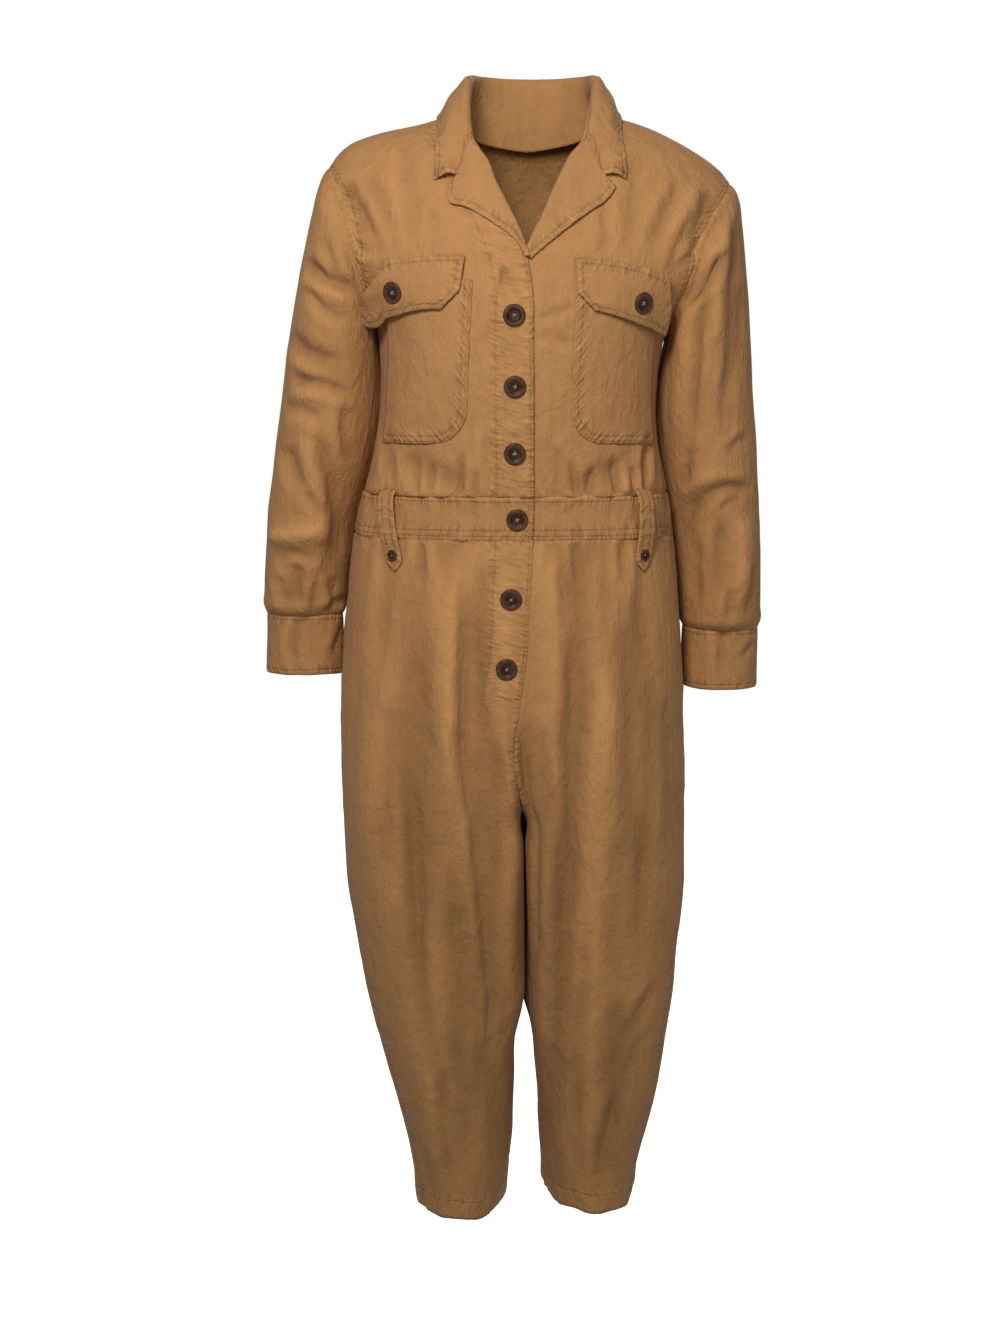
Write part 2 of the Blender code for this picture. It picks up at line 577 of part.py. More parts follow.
def armhole_rings(side_name):
    """First two rings of a sleeve, from the shoulder tip round the front.

    The first is the armhole edges of the front and the back, moved off them by the seam gap.
    The second carries the shoulder's slope on before the sleeve falls.
    """
    sign = SIDES[side_name]
    full = np.ones(len(ARMHOLE_ROWS))
    front = bodice_front(side_name, ARMHOLE_ROWS, full)
    back = bodice_back(ARMHOLE_ROWS, sign * full)
    edge = np.concatenate([front, back[1:-1][::-1]])
    edge[0, 1] = 0.0
    edge[len(front) - 1, 1] = 0.0
    along = np.roll(edge, -1, axis=0) - np.roll(edge, 1, axis=0)
    outward = unit(np.cross(unit(gradient(edge)), along))
    outward *= np.sign(outward[:, :1]) * sign
    low = ramp(edge[:, 2], *UNDERARM_SPAN)[:, None]
    off = unit(outward * (1 - low) + np.array(UNDERARM_OFF) * np.array([sign, 1.0, 1.0]) * low)
    first = edge + off * ARMHOLE_GAP
    second = edge + off * (CAP_REACH + (UNDERARM_REACH - CAP_REACH) * low)
    return first, second


def ring_between(outer, inner, half_depth, middle_y, inner_y, angle):
    """Oval ring whose width runs between two points in the XZ plane; its inner end lies at inner_y."""
    outer, inner = np.array(outer), np.array(inner)
    middle = (outer + inner) / 2
    across = (outer - inner) / 2
    wide = np.cos(angle)
    deep = -np.sin(angle)
    x = middle[0] + across[0] * wide
    z = middle[1] + across[1] * wide
    back = (inner_y - middle_y) * np.maximum(-wide, 0.0) ** 2
    return np.stack([x, middle_y + half_depth * deep + back, z], axis=-1)


def sleeve_rings(side_name):
    """Rings of a sleeve from the armhole to the cuff."""
    first, second = armhole_rings(side_name)
    middle = (SHOULDER_TIP[1] + UNDERARM[1]) / 2
    half = (SHOULDER_TIP[1] - UNDERARM[1]) / 2
    down = np.arccos(np.clip((ARMHOLE_ROWS - middle) / half, -1.0, 1.0))
    angle = np.concatenate([down, 2 * math.pi - down[1:-1][::-1]])
    rings = [first, second]
    for row in range(len(SLEEVE["outer_x"])):
        value = {name: column[row] for name, column in SLEEVE.items()}
        outer = (value["outer_x"], value["outer_z"])
        inner = (value["inner_x"], value["inner_z"])
        ring = ring_between(outer, inner, value["half_depth"], value["middle_y"], value["inner_y"], angle)
        ring[:, 0] *= SIDES[side_name]
        rings.append(ring)
    return np.stack(rings)


def make_sleeve(side_name, material):
    points = sleeve_rings(side_name)
    middle = points.mean(axis=1, keepdims=True)
    normals = grid_normals(points, closed=True)
    if np.sum(normals * (points - middle)) < 0:
        normals = -normals
    height = fold_height(points, normals, SLEEVE_FOLDS)
    height[:2] = 0.0
    height[-1] = 0.0
    points = points + normals * height[..., None]
    cloth_piece(f"sleeve_{side_name}", points, middle, material, closed=True)


def make_cuff(side_name, material):
    angle = np.linspace(0.0, 2 * math.pi, CUFF_COLUMNS + 1)[:-1]
    levels = np.linspace(CUFF_TOP, CUFF_BOTTOM, 4)
    z, turn = np.meshgrid(levels, angle, indexing="ij")
    flare = 1.0 + CUFF_FLARE * (levels[0] - z) / (levels[0] - levels[-1])
    x = CUFF_CENTRE[0] + CUFF_HALF[0] * flare * np.cos(turn)
    y = CUFF_CENTRE[1] - CUFF_HALF[1] * flare * np.sin(turn)
    points = np.stack([SIDES[side_name] * x, y, z], axis=-1)
    middle = points.mean(axis=1, keepdims=True)
    cloth_piece(f"cuff_{side_name}", points, middle, material, closed=True)


# ---------------------------------------------------------------- trousers
LEG_ROWS = np.concatenate([
    [WAIST_BOTTOM - SEAM_GAP / 2, -0.4640, -0.4980, -0.5350, -0.5750],
    [FLY_END_Z, -0.6350, -0.6650, -0.6920, -0.7120, -0.7260, CROTCH_Z, -0.7500],
    [-0.7850, -0.8300, -0.8850, -0.9400, -1.0000, -1.0600, -1.1150, -1.1650],
    [-1.2050, -1.2370],
])
LEG_COLUMNS = 11
SPLIT_SHARE = 0.5            # share of a panel's columns that lie on the inner half of the leg
SPLIT_REACH = 0.5            # where those end, as a share of the way to the outer side
INNER_SPACING = 1.6          # these columns close up towards the inseam
FLY_TAIL_Z = -0.6400         # where the seam below the fly has met the middle
FLY_SETTLE = (-0.6800, -0.6450)      # heights over which the fly's lift ends, coming up
JOIN_SOFT = 0.0120           # radius that joins the two legs' fronts and backs above the crotch
JOIN_HEIGHT = (-0.7000, -0.6200)
JOIN_REACH = (0.0600, 0.0300)        # distance from the middle over which it fades in
SEAM_ROOM = (0.0005, 0.0080)         # folds fade in over this distance from the middle
FLY_ROOM = (0.0300, 0.0440)          # and over this one beside the fly
FOLDS_START = -0.4700        # folds are whole from here down
TWIST_REACH = 0.0500         # distance front or back at which the lean is whole
TWIST_START, TWIST_END = (-0.6600, -0.7600), (-1.0600, -0.9400)


def leg_section(z):
    return {name: curve_through(z, LEG["z"], LEG[name]) for name in ("outer", "middle", "front", "back")}


def leg_inner_angle(side_name, z, face):
    """Angle of a leg panel's inner edge: fly or centre seam above the crotch, then inseam."""
    section = leg_section(z)
    half = section["outer"] - section["middle"]
    seam = np.full(z.shape, SEAM_GAP / 2)
    if face == "front":
        edge = curve_through(z, FRONT_EDGE["z"], FRONT_EDGE["x"])
        if side_name == "right":
            seam = np.where(z >= FLY_END_Z, -edge, seam + FLY_CLEAR * (z > FLY_TAIL_Z))
        else:
            seam = np.where(z > FLY_END_Z, edge - WRAP, seam)
    share = np.clip((seam - section["middle"]) / half, -1.0, 1.0)
    return np.maximum(angle_at(share), -math.pi / 2)


def fly_lift(x, z):
    """Height of the upper front trouser piece where it lies over the lower one."""
    return FRONT_LIFT * ramp(-x, *LIFT_ACROSS) * ramp(z, *FLY_SETTLE)


def hem_shift(side_name, z, angle):
    """Waves of the hem and the leg's own length, fading out up the leg."""
    share = ramp(z, *HEM_SPAN)
    phase = 0.8 if side_name == "right" else 2.1
    wave = HEM_WAVE * np.sin(HEM_WAVES * angle + phase)
    sine = np.sin(angle)
    rise = HEM_RISE_INNER * np.maximum(-sine, 0.0) ** 2 + HEM_RISE_OUTER * np.maximum(sine, 0.0) ** 2
    return (HEM_Z[side_name] - LEG_ROWS[-1] + wave + rise) * share


def lobe_depth(x, section, z, face):
    """Depth of a leg at a distance from the middle: fuller on its inner side.

    Above the crotch the two legs' lobes join smoothly at the middle.
    """
    soft = JOIN_SOFT * ramp(z, *JOIN_HEIGHT) * ramp(x, *JOIN_REACH)
    reach = np.sqrt(x**2 + soft**2)
    half = section["outer"] - section["middle"]
    share = (reach - section["middle"]) / half
    return section[face] * np.where(share < 0, oval(-share, INNER_ROUNDNESS), oval(share))


def leg_angle(side_name, face, z, share):
    """Angle across a leg panel: even steps of width to half way out, then even steps of angle."""
    section = leg_section(z)
    half = section["outer"] - section["middle"]
    gap = SEAM_GAP / 2 / half
    seam = np.radians(curve_through(z, LEG_SEAM["z"], LEG_SEAM["angle"]))
    inner = leg_inner_angle(side_name, z, face) + np.where(z <= CROTCH_Z, gap, 0.0)
    inner_x, _ = section_point(half, half, inner, section["middle"])
    split_x = section["outer"] * SPLIT_REACH
    near = np.clip(share / SPLIT_SHARE, 0.0, 1.0) ** INNER_SPACING
    near_x = inner_x + (split_x - inner_x) * near
    near_angle = angle_at((near_x - section["middle"]) / half)
    split_angle = angle_at((split_x - section["middle"]) / half)
    far = np.clip((share - SPLIT_SHARE) / (1 - SPLIT_SHARE), 0.0, 1.0)
    if face == "front":
        far_angle = split_angle + (seam - gap - split_angle) * far
        return np.where(share < SPLIT_SHARE, near_angle, far_angle)
    far_angle = math.pi - split_angle + (seam + gap - math.pi + split_angle) * far
    return np.where(share < SPLIT_SHARE, math.pi - near_angle, far_angle)


def leg_panel(side_name, face, z, share):
    """Leg panel at heights and shares of its width, from the inner edge to the side seam."""
    sign = SIDES[side_name]
    section = leg_section(z)
    half = section["outer"] - section["middle"]
    angle = leg_angle(side_name, face, z, share)
    x, _ = section_point(half, half, angle, section["middle"])
    facing_front = np.cos(angle) > 0
    depth_front = lobe_depth(x, section, z, "front")
    depth_back = lobe_depth(x, section, z, "back")
    y = np.where(facing_front, -depth_front, depth_back)
    points = np.stack([sign * x, y, z + hem_shift(side_name, z, angle)], axis=-1)
    normals = leg_normals(points, sign, section["middle"])
    folds = fold_height(points, normals, FOLDS)
    folds = folds * ramp(z, WAIST_BOTTOM, FOLDS_START) * fold_room(sign * points[..., 0], z)
    if side_name == "right" and face == "front":
        folds = folds + fly_lift(points[..., 0], points[..., 2])
    points = points + normals * folds[..., None]
    points[..., 0] = keep_side(side_name, points[..., 0], z)
    points[..., 0] += leg_twist(points, section, sign)
    points[..., 1] += leg_sway(sign * points[..., 0], section, z)
    return points


def fold_room(distance, z):
    """Share of the folds: none at the middle seam, nor where the fly overlaps."""
    fly = ramp(z, FLY_TAIL_Z, FLY_END_Z)
    return ramp(distance, *SEAM_ROOM) * (1 - fly) + ramp(distance, *FLY_ROOM) * fly


def leg_twist(points, section, sign):
    """The legs' inner sides lean together, so that one covers the other from front and back."""
    inner = ramp(sign * points[..., 0], section["middle"], 0.0)
    low = ramp(points[..., 2], *TWIST_START) * ramp(points[..., 2], *TWIST_END)
    return -LEG_TWIST * np.clip(points[..., 1] / TWIST_REACH, -1.0, 1.0) * inner * low


def leg_sway(x, section, z):
    """Near the hem the inner and outer sides of a leg lie further back than its middle."""
    share = (x - section["middle"]) / (section["outer"] - section["middle"])
    reach = SWAY_INNER * np.clip(-share, 0.0, 1.0) ** 2 + SWAY_OUTER * np.clip(share, 0.0, 1.0) ** 2
    return reach * ramp(z, *SWAY_SPAN)


def leg_normals(points, sign, middle):
    centre = np.stack([sign * middle, 0 * middle, points[..., 2]], axis=-1)
    normals = grid_normals(points)
    outward = np.sum(normals * (points - centre), axis=-1, keepdims=True)
    return normals * np.sign(outward.sum())


def keep_side(side_name, x, z):
    """Below the fly, each leg keeps to its own side of the middle."""
    sign = SIDES[side_name]
    return np.where(z < FLY_END_Z, sign * np.maximum(sign * x, SEAM_GAP / 2), x)


def make_leg_panel(side_name, face, material):
    z, share = np.meshgrid(LEG_ROWS, np.linspace(0.0, 1.0, LEG_COLUMNS), indexing="ij")
    points = leg_panel(side_name, face, z, share)
    middle = SIDES[side_name] * curve_through(z, LEG["z"], LEG["middle"])
    axis = np.stack([middle, 0 * middle, points[..., 2]], axis=-1)
    cloth_piece(f"leg_{face}_{side_name}", points, axis, material)


# ---------------------------------------------------------------- waistband and tabs
BAND_STAND = 0.0006          # how far the waistband stands out from the cloth above it
BAND_ROWS = np.linspace(WAIST_TOP, WAIST_BOTTOM + SEAM_GAP / 2, 3)
BAND_COLUMNS = 12


def make_band_front(side_name, material):
    sign = SIDES[side_name]
    z, share = np.meshgrid(BAND_ROWS, np.linspace(0.0, 1.0, BAND_COLUMNS), indexing="ij")
    edge = curve_through(z, FRONT_EDGE["z"], FRONT_EDGE["x"])
    inner_x = edge if side_name == "right" else edge - WRAP
    side = curve_through(z, BODY["z"], BODY["side"])
    inner = angle_at(sign * inner_x / side)
    angle = inner + (math.pi / 2 - SEAM_GAP / 2 / side - inner) * share
    points, normals = body_grid(sign, z, angle, "front")
    height = BAND_STAND + 0 * z
    if side_name == "right":
        height = height + overlap_lift(points[..., 0], z)
    points = points + normals * height[..., None]
    cloth_piece(f"waistband_{side_name}", points, body_axis(points), material)


def make_band_back(material):
    z, share = np.meshgrid(BAND_ROWS, np.linspace(-1.0, 1.0, BACK_COLUMNS), indexing="ij")
    side = curve_through(z, BODY["z"], BODY["side"])
    angle = (math.pi / 2 - SEAM_GAP / 2 / side) * np.abs(share)
    points, normals = body_grid(1, z, angle, "back")
    points[..., 0] *= np.sign(share)
    normals[..., 0] *= np.sign(share)
    points = points + normals * BAND_STAND
    cloth_piece("waistband_back", points, body_axis(points), material)


TAB = table(
    "z height half_width",
    (-0.3860, 0.0020, 0.0100),
    (-0.3900, 0.0062, 0.0104),
    (-0.3970, 0.0092, 0.0104),
    (-0.4120, 0.0108, 0.0104),
    (-0.4270, 0.0104, 0.0104),
    (-0.4400, 0.0078, 0.0104),
    (-0.4520, 0.0046, 0.0104),
    (-0.4610, 0.0026, 0.0096),
    (-0.4710, 0.0020, 0.0012),
)
TAB_X = {"right": (0.1335, 0.1255), "left": (0.1310, 0.1370)}    # middle at the top and tip
TAB_BUTTON_Z = -0.4550
TAB_COLUMNS = 4
TAB_LOWEST = -0.4700         # below this the tab's tip stays level with the cloth above


def tab_points(side_name, z, across, height):
    """Points of a tab over the waist: across is the distance from its middle line."""
    sign = SIDES[side_name]
    top, tip = TAB_X[side_name]
    middle = top + (tip - top) * (z - TAB["z"][0]) / (TAB["z"][-1] - TAB["z"][0])
    points, normals = hip_point(sign, middle, np.maximum(z, TAB_LOWEST))
    tangent = unit(np.cross(normals, np.array([0.0, 0.0, 1.0]) + 0 * normals))
    return points + normals * height[..., None] + tangent * across[..., None]


def hip_point(sign, x, z):
    """Point and normal on the front of the waist and hips, at a distance from the middle."""
    section = leg_section(z)
    in_body = z > WAIST_BOTTOM
    side = np.where(in_body, curve_through(z, BODY["z"], BODY["side"]), section["outer"])
    depth = np.where(in_body, curve_through(z, BODY["z"], BODY["front"]), section["front"])
    share = x / side
    y = -depth * oval(share)
    slope_x = (x / side) ** (ROUNDNESS - 1) / side
    slope_y = -((-y / depth) ** (ROUNDNESS - 1)) / depth
    points = np.stack([sign * x, y, z], axis=-1)
    return points, unit(np.stack([sign * slope_x, slope_y, 0 * x], axis=-1))


def make_tab(side_name, material):
    z, share = np.meshgrid(TAB["z"], np.linspace(-1.0, 1.0, TAB_COLUMNS), indexing="ij")
    height = TAB["height"][:, None] + 0 * share
    points = tab_points(side_name, z, share * TAB["half_width"][:, None], height)
    cloth_piece(f"belt_tab_{side_name}", points, body_axis(points), material)


# ---------------------------------------------------------------- collar and lapels
def collar_profile(part, row):
    return np.stack([row[f"{part}_x"], row[f"{part}_y"], row[f"{part}_z"]], axis=-1)


def neckline(side_name, share):
    """Neck edge of the front and then of half the back, moved off it towards the neck."""
    sign = SIDES[side_name]
    top = BODICE_ROWS[0]
    forward = np.clip(share / SHOULDER_SHARE, 0.0, 1.0)
    front = bodice_front(side_name, COLLAR_FRONT_Z + (top - COLLAR_FRONT_Z) * forward, 0 * share)
    behind = np.clip((share - SHOULDER_SHARE) / (1 - SHOULDER_SHARE), 0.0, 1.0)
    back = bodice_back(top + 0 * share, sign * (1 - behind))
    edge = np.where((share <= SHOULDER_SHARE)[:, None], front, back)
    off = unit(np.cross(gradient(edge), np.gradient(edge, axis=0)))
    off *= np.sign(np.sum(off * np.array([1.0, 1.0, 0.0]) * -edge, axis=-1, keepdims=True))
    return edge + off * (CLOTH + SEAM_GAP)


def collar_section(share, side_name):
    """Section of the collar from the neckline over the roll to its free edge."""
    row = {name: curve_through(share, COLLAR["share"], COLLAR[name]) for name in COLLAR}
    roll, fall, edge = (collar_profile(part, row) for part in ("roll", "fall", "edge"))
    mirror = np.array([SIDES[side_name], 1.0, 1.0])
    roll, fall, edge = roll * mirror, fall * mirror, edge * mirror
    base = neckline(side_name, share)
    outward = unit((fall - roll) * np.array([1.0, 1.0, 0.0]))
    up = np.array([0.0, 0.0, COLLAR_ROLL_RADIUS])
    turn = [roll + outward * COLLAR_ROLL_RADIUS * out + up * high for out, high in zip(*COLLAR_ROLL.values())]
    return np.stack([
        base,
        (base + roll) / 2 - outward * COLLAR_STAND_IN,
        *turn,
        (roll + fall) / 2 + outward * COLLAR_BELLY,
        fall + outward * COLLAR_DROP,
        edge,
    ], axis=1)


def make_collar(material):
    """Collar as one strip: rows follow the neck round, columns go up, over the roll and down."""
    right = collar_section(COLLAR_SHARES, "right")
    left = collar_section(COLLAR_SHARES[:-1][::-1], "left")
    points = np.concatenate([right, left])
    points[:, 3:6] = clear_of_body(points[:, 3:6], 2 * CLOTH + SEAM_GAP)
    points[:, 6:] = clear_of_body(points[:, 6:], COLLAR_LOFT)
    inside = points[:, 2:3] - np.array([0.0, 0.0, COLLAR_INSIDE])
    cloth_piece("collar", points, inside, material)


def lapel_rows(side_name):
    """Roll line and outer edge of a lapel, from the gorge to the break."""
    share = LAPEL_SHARES
    roll_table = ROLL_RIGHT if side_name == "right" else ROLL_LEFT
    roll_z = GORGE_Z + (LAPEL_END_Z[side_name] - GORGE_Z) * share
    roll_x = curve_through(roll_z, roll_table["z"], roll_table["x"]) * SIDES[side_name]
    edge_x = np.interp(share, LAPEL["share"], LAPEL["edge_x"])
    edge_z = np.interp(share, LAPEL["share"], LAPEL["edge_z"])
    lean = LAPEL_LEAN * share if side_name == "right" else 0.0
    edge_x = np.maximum(edge_x - lean, roll_x + LAPEL_LEAST)
    return roll_x, roll_z, edge_x, edge_z


def make_lapel(side_name, material):
    roll_x, roll_z, edge_x, edge_z = lapel_rows(side_name)
    x = roll_x[:, None] + (edge_x - roll_x)[:, None] * LAPEL_ACROSS
    z = roll_z[:, None] + (edge_z - roll_z)[:, None] * LAPEL_ACROSS
    height = LAPEL_HEIGHT + LAPEL_BELLY * (1 - LAPEL_ACROSS) ** 2 + 0 * x
    points, _ = lay_on_body(SIDES[side_name] * x, z, height + overlap_clear(side_name, x, z))
    cloth_piece(f"lapel_{side_name}", points, body_axis(points), material)


def overlap_clear(side_name, x, z):
    """A lapel lies over the lifted front on the right side."""
    if side_name == "right":
        return overlap_lift(-x, z)
    return 0.0 * x


# ---------------------------------------------------------------- chest pockets
POCKET_INNER_X = 0.0535
POCKET_TOP, POCKET_BOTTOM = -0.1720, -0.3370
POCKET_CORNER = 0.0360
POCKET_TURNS = np.radians([0, 30, 55, 75, 90])
POCKET_COLUMNS = 9
ROW_APART = 0.0040           # rows shared with the bodice keep this far from the pocket's own
POCKET_OUTER = table("z x", (-0.172, 0.1500), (-0.215, 0.1400), (-0.270, 0.1380), (-0.337, 0.1440))
FLAP_TOP, FLAP_BOTTOM = -0.1480, -0.2000
FLAP_INNER_X = 0.0560
FLAP_OUTER_X = {"right": (0.1600, 0.1640), "left": (0.1600, 0.1560)}     # at its top and bottom
FLAP_STRAIGHT_X = 0.1200     # beyond this the flap hangs straight, off the body
FLAP_CHAMFER = 0.0140
FLAP_LIFT = 0.0022           # how far its lower edge stands off the pocket
FLAP_SLOPE = 0.1100          # the flap's outer end hangs lower
FLAP_TAPER = 0.0040          # how much narrower the flap is at its lower edge
FLAP_ROWS = np.linspace(0.0, 1.0, 5)
FLAP_COLUMNS = np.array([0.0, 0.13, 0.30, 0.48, 0.66, 0.84, 1.0])
FLAP_CORNER = 0.72           # how far down the cut corner begins
FLAP_HANG = 0.60             # how far down the outer end hangs quite straight
FLAP_STEP = 0.0020           # the straight part follows the slope over this width
FLAP_BUTTON = {"right": (0.1345, -0.1840), "left": (0.1210, -0.1890)}
FLAP_BUTTON_LIFT = 0.0018    # height of that button over the flap's sewn top


def pocket_inner(z):
    """Inner edge of a pocket, rounded at its lower corner."""
    below = np.clip(POCKET_BOTTOM + POCKET_CORNER - z, 0.0, POCKET_CORNER)
    return POCKET_INNER_X + POCKET_CORNER - np.sqrt(POCKET_CORNER**2 - below**2)


def make_pocket(side_name, material):
    arc = POCKET_BOTTOM + POCKET_CORNER * (1 - np.sin(POCKET_TURNS))
    shared = BODICE_ROWS[(BODICE_ROWS < POCKET_TOP - ROW_APART) & (BODICE_ROWS > arc[0] + ROW_APART)]
    levels = np.concatenate([[POCKET_TOP], shared, arc])
    z, share = np.meshgrid(levels, np.linspace(0.0, 1.0, POCKET_COLUMNS), indexing="ij")
    inner = pocket_inner(z)
    outer = curve_through(z, POCKET_OUTER["z"], POCKET_OUTER["x"])
    x = inner + (outer - inner) * share
    height = CLOTH + LAYER_GAP + 0 * x
    points, _ = lay_on_body(SIDES[side_name] * x, z, height)
    cloth_piece(f"pocket_{side_name}", points, body_axis(points), material)


def flap_points(side_name, x, z, down, height):
    """Flap over the pocket: sewn along its top, its outer end hanging straight below that."""
    sign = SIDES[side_name]
    near, _ = lay_on_body(sign * np.minimum(x, FLAP_STRAIGHT_X), z, height)
    before, _ = lay_on_body(sign * (FLAP_STRAIGHT_X - FLAP_STEP + 0 * x), z, height)
    limit, _ = lay_on_body(sign * (FLAP_STRAIGHT_X + 0 * x), z, height)
    past = np.maximum(x - FLAP_STRAIGHT_X, 0.0)[..., None] / FLAP_STEP
    straight = near + (limit - before) * past
    on_body, _ = lay_on_body(sign * x, z, height)
    share = ramp(down, 0.0, FLAP_HANG)[..., None]
    return on_body + (straight - on_body) * share


def make_flap(side_name, material):
    down, share = np.meshgrid(FLAP_ROWS, FLAP_COLUMNS, indexing="ij")
    chamfer = FLAP_CHAMFER * np.clip((down - FLAP_CORNER) / (1 - FLAP_CORNER), 0.0, 1.0)
    inner = FLAP_INNER_X + FLAP_TAPER * down + chamfer
    top, bottom = FLAP_OUTER_X[side_name]
    outer = top + (bottom - top) * down
    x = inner + (outer - inner) * share
    drop = FLAP_SLOPE * (x - FLAP_INNER_X)
    z = FLAP_TOP + (FLAP_BOTTOM - FLAP_TOP) * down - drop * down
    height = 2 * (CLOTH + LAYER_GAP) + FLAP_LIFT * down**2 * (0.5 + share)
    points = flap_points(side_name, x, z, down, height)
    cloth_piece(f"flap_{side_name}", points, body_axis(points), material)


# ---------------------------------------------------------------- buttons
BUTTON_PROFILE = table(
    "radius height",
    (0.00, 0.17), (0.46, 0.17), (0.66, 0.27), (0.86, 0.28), (1.00, 0.16), (0.93, 0.03), (0.00, 0.00),
)
BUTTON_STEPS = 12
BUTTON_WELD = 0.00005        # points on the button's axis closer than this become one
FLY_BUTTON_LIFT = 0.0003     # how much further the buttons on the fly stand out
TAB_BUTTON_LIFT = 0.0004     # and those on the tabs
FRONT_BUTTONS = table(
    "x z",
    (-0.0090, -0.2080), (-0.0050, -0.2790), (-0.0030, -0.3470),
    (0.0015, -0.4160), (-0.0030, -0.4980), (-0.0070, -0.5710),
)


def button_mesh(name, radius, material):
    """Turned button: a dished face inside a raised rim, its back at height 0."""
    mesh = bpy.data.meshes.new(name)
    points = [(r * radius, 0.0, h * radius) for r, h in zip(*BUTTON_PROFILE.values())]
    edges = [(i, i + 1) for i in range(len(points) - 1)]
    mesh.from_pydata(points, edges, [])
    mesh.materials.append(material)
    return mesh


def place_button(name, mesh, point, normal):
    piece = bpy.data.objects.new(name, mesh)
    bpy.data.collections["boiler_suit"].objects.link(piece)
    piece.location = stance(point)
    piece.rotation_mode = "QUATERNION"
    piece.rotation_quaternion = Vector(normal).to_track_quat("Z", "Y")
    screw = piece.modifiers.new("Turn", "SCREW")
    screw.steps = BUTTON_STEPS
    screw.render_steps = BUTTON_STEPS
    screw.use_merge_vertices = True
    screw.merge_threshold = BUTTON_WELD
    screw.use_normal_calculate = True


def front_button_place(x, z):
    """Point just over the upper front, waistband or fly, and its normal."""
    height = FRONT_LIFT + BAND_STAND * (WAIST_BOTTOM < z < WAIST_TOP) + SEAM_GAP
    x_array, z_array = np.array([x]), np.array([z])
    if z > WAIST_BOTTOM:
        points, normals = lay_on_body(x_array, z_array, np.array([height]))
        return points[0], normals[0]
    section = leg_section(z_array)
    side = section["outer"] - section["middle"]
    share = (abs(x) - section["middle"]) / side
    y = -section["front"] * oval(np.abs(share))
    point = np.array([x, float(y[0]) - height - FLY_BUTTON_LIFT, z])
    return point, np.array([0.0, -1.0, 0.0])


def make_buttons(material):
    large = button_mesh("button", BUTTON_RADIUS, material)
    small = button_mesh("small_button", SMALL_BUTTON_RADIUS, material)
    for number, (x, z) in enumerate(zip(FRONT_BUTTONS["x"], FRONT_BUTTONS["z"]), start=1):
        point, normal = front_button_place(float(x), float(z))
        place_button(f"button_front_{number}", large, point, normal)
    for side_name, sign in SIDES.items():
        x, z = FLAP_BUTTON[side_name]
        height = np.array([2 * (CLOTH + LAYER_GAP) + FLAP_BUTTON_LIFT])
        points = flap_points(side_name, np.array([x]), np.array([z]), np.array([FLAP_HANG]), height)
        flat_x = np.array([sign * min(x, FLAP_STRAIGHT_X)])
        _, normals = lay_on_body(flat_x, np.array([z]), height)
        place_button(f"button_flap_{side_name}", large, points[0], normals[0])
        z_array = np.array([TAB_BUTTON_Z])
        height = curve_through(z_array, TAB["z"], TAB["height"]) + LAYER_GAP + TAB_BUTTON_LIFT
        points = tab_points(side_name, z_array, np.zeros(1), height)
        _, normals = hip_point(sign, np.array([sum(TAB_X[side_name]) / 2]), z_array)
        place_button(f"button_tab_{side_name}", small, points[0], normals[0])


# ---------------------------------------------------------------- the suit
def make_suit():
    clear_scene()
    collection = bpy.data.collections.new("boiler_suit")
    bpy.context.scene.collection.children.link(collection)
    twill = new_material("twill", TAN, 0.85)
    twill_trim = new_material("twill_trim", TAN_SHADE, 0.85)
    horn = new_material("horn", HORN, 0.35)
    make_back(twill)
    make_collar(twill_trim)
    make_band_back(twill_trim)
    for side_name in SIDES:
        make_front(side_name, twill)
        make_lapel(side_name, twill_trim)
        make_sleeve(side_name, twill)
        make_cuff(side_name, twill_trim)
        make_pocket(side_name, twill_trim)
        make_flap(side_name, twill_trim)
        make_band_front(side_name, twill_trim)
        make_tab(side_name, twill_trim)
        for face in ("front", "back"):
            make_leg_panel(side_name, face, twill)
    make_buttons(horn)


make_suit()
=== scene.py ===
import math

import bpy
import numpy as np
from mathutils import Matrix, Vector


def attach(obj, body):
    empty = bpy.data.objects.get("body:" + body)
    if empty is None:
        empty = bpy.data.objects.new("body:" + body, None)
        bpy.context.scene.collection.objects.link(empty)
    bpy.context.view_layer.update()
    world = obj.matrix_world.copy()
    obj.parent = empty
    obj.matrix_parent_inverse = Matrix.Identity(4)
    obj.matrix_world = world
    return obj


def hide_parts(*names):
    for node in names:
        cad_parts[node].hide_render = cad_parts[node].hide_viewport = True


# Boiler suit in washed camel twill, worn form. Metres, +Z up, front towards -Y.
# Right and left are the wearer's. Each cloth piece is a grid of points worked out from the
# suit's sections, with its folds, seams and puckers added along the grid's normals.

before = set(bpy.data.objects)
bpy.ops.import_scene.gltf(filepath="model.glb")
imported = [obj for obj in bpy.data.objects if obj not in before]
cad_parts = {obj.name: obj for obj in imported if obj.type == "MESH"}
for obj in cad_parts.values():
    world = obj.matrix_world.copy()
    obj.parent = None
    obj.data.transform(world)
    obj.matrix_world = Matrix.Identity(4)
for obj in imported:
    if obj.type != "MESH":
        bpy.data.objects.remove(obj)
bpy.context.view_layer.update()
sides = {"right": -1, "left": 1}


# tables and curves
plainColumns = {"facing", "share", "angle", "power", "down", "out", "up", "rise"}   # the rest are millimetres


def table(columns, *rows):
    scale = [1.0 if name in plainColumns else 0.001 for name in columns.split()]
    return {name: np.array(column) * s for name, column, s in zip(columns.split(), zip(*rows), scale)}


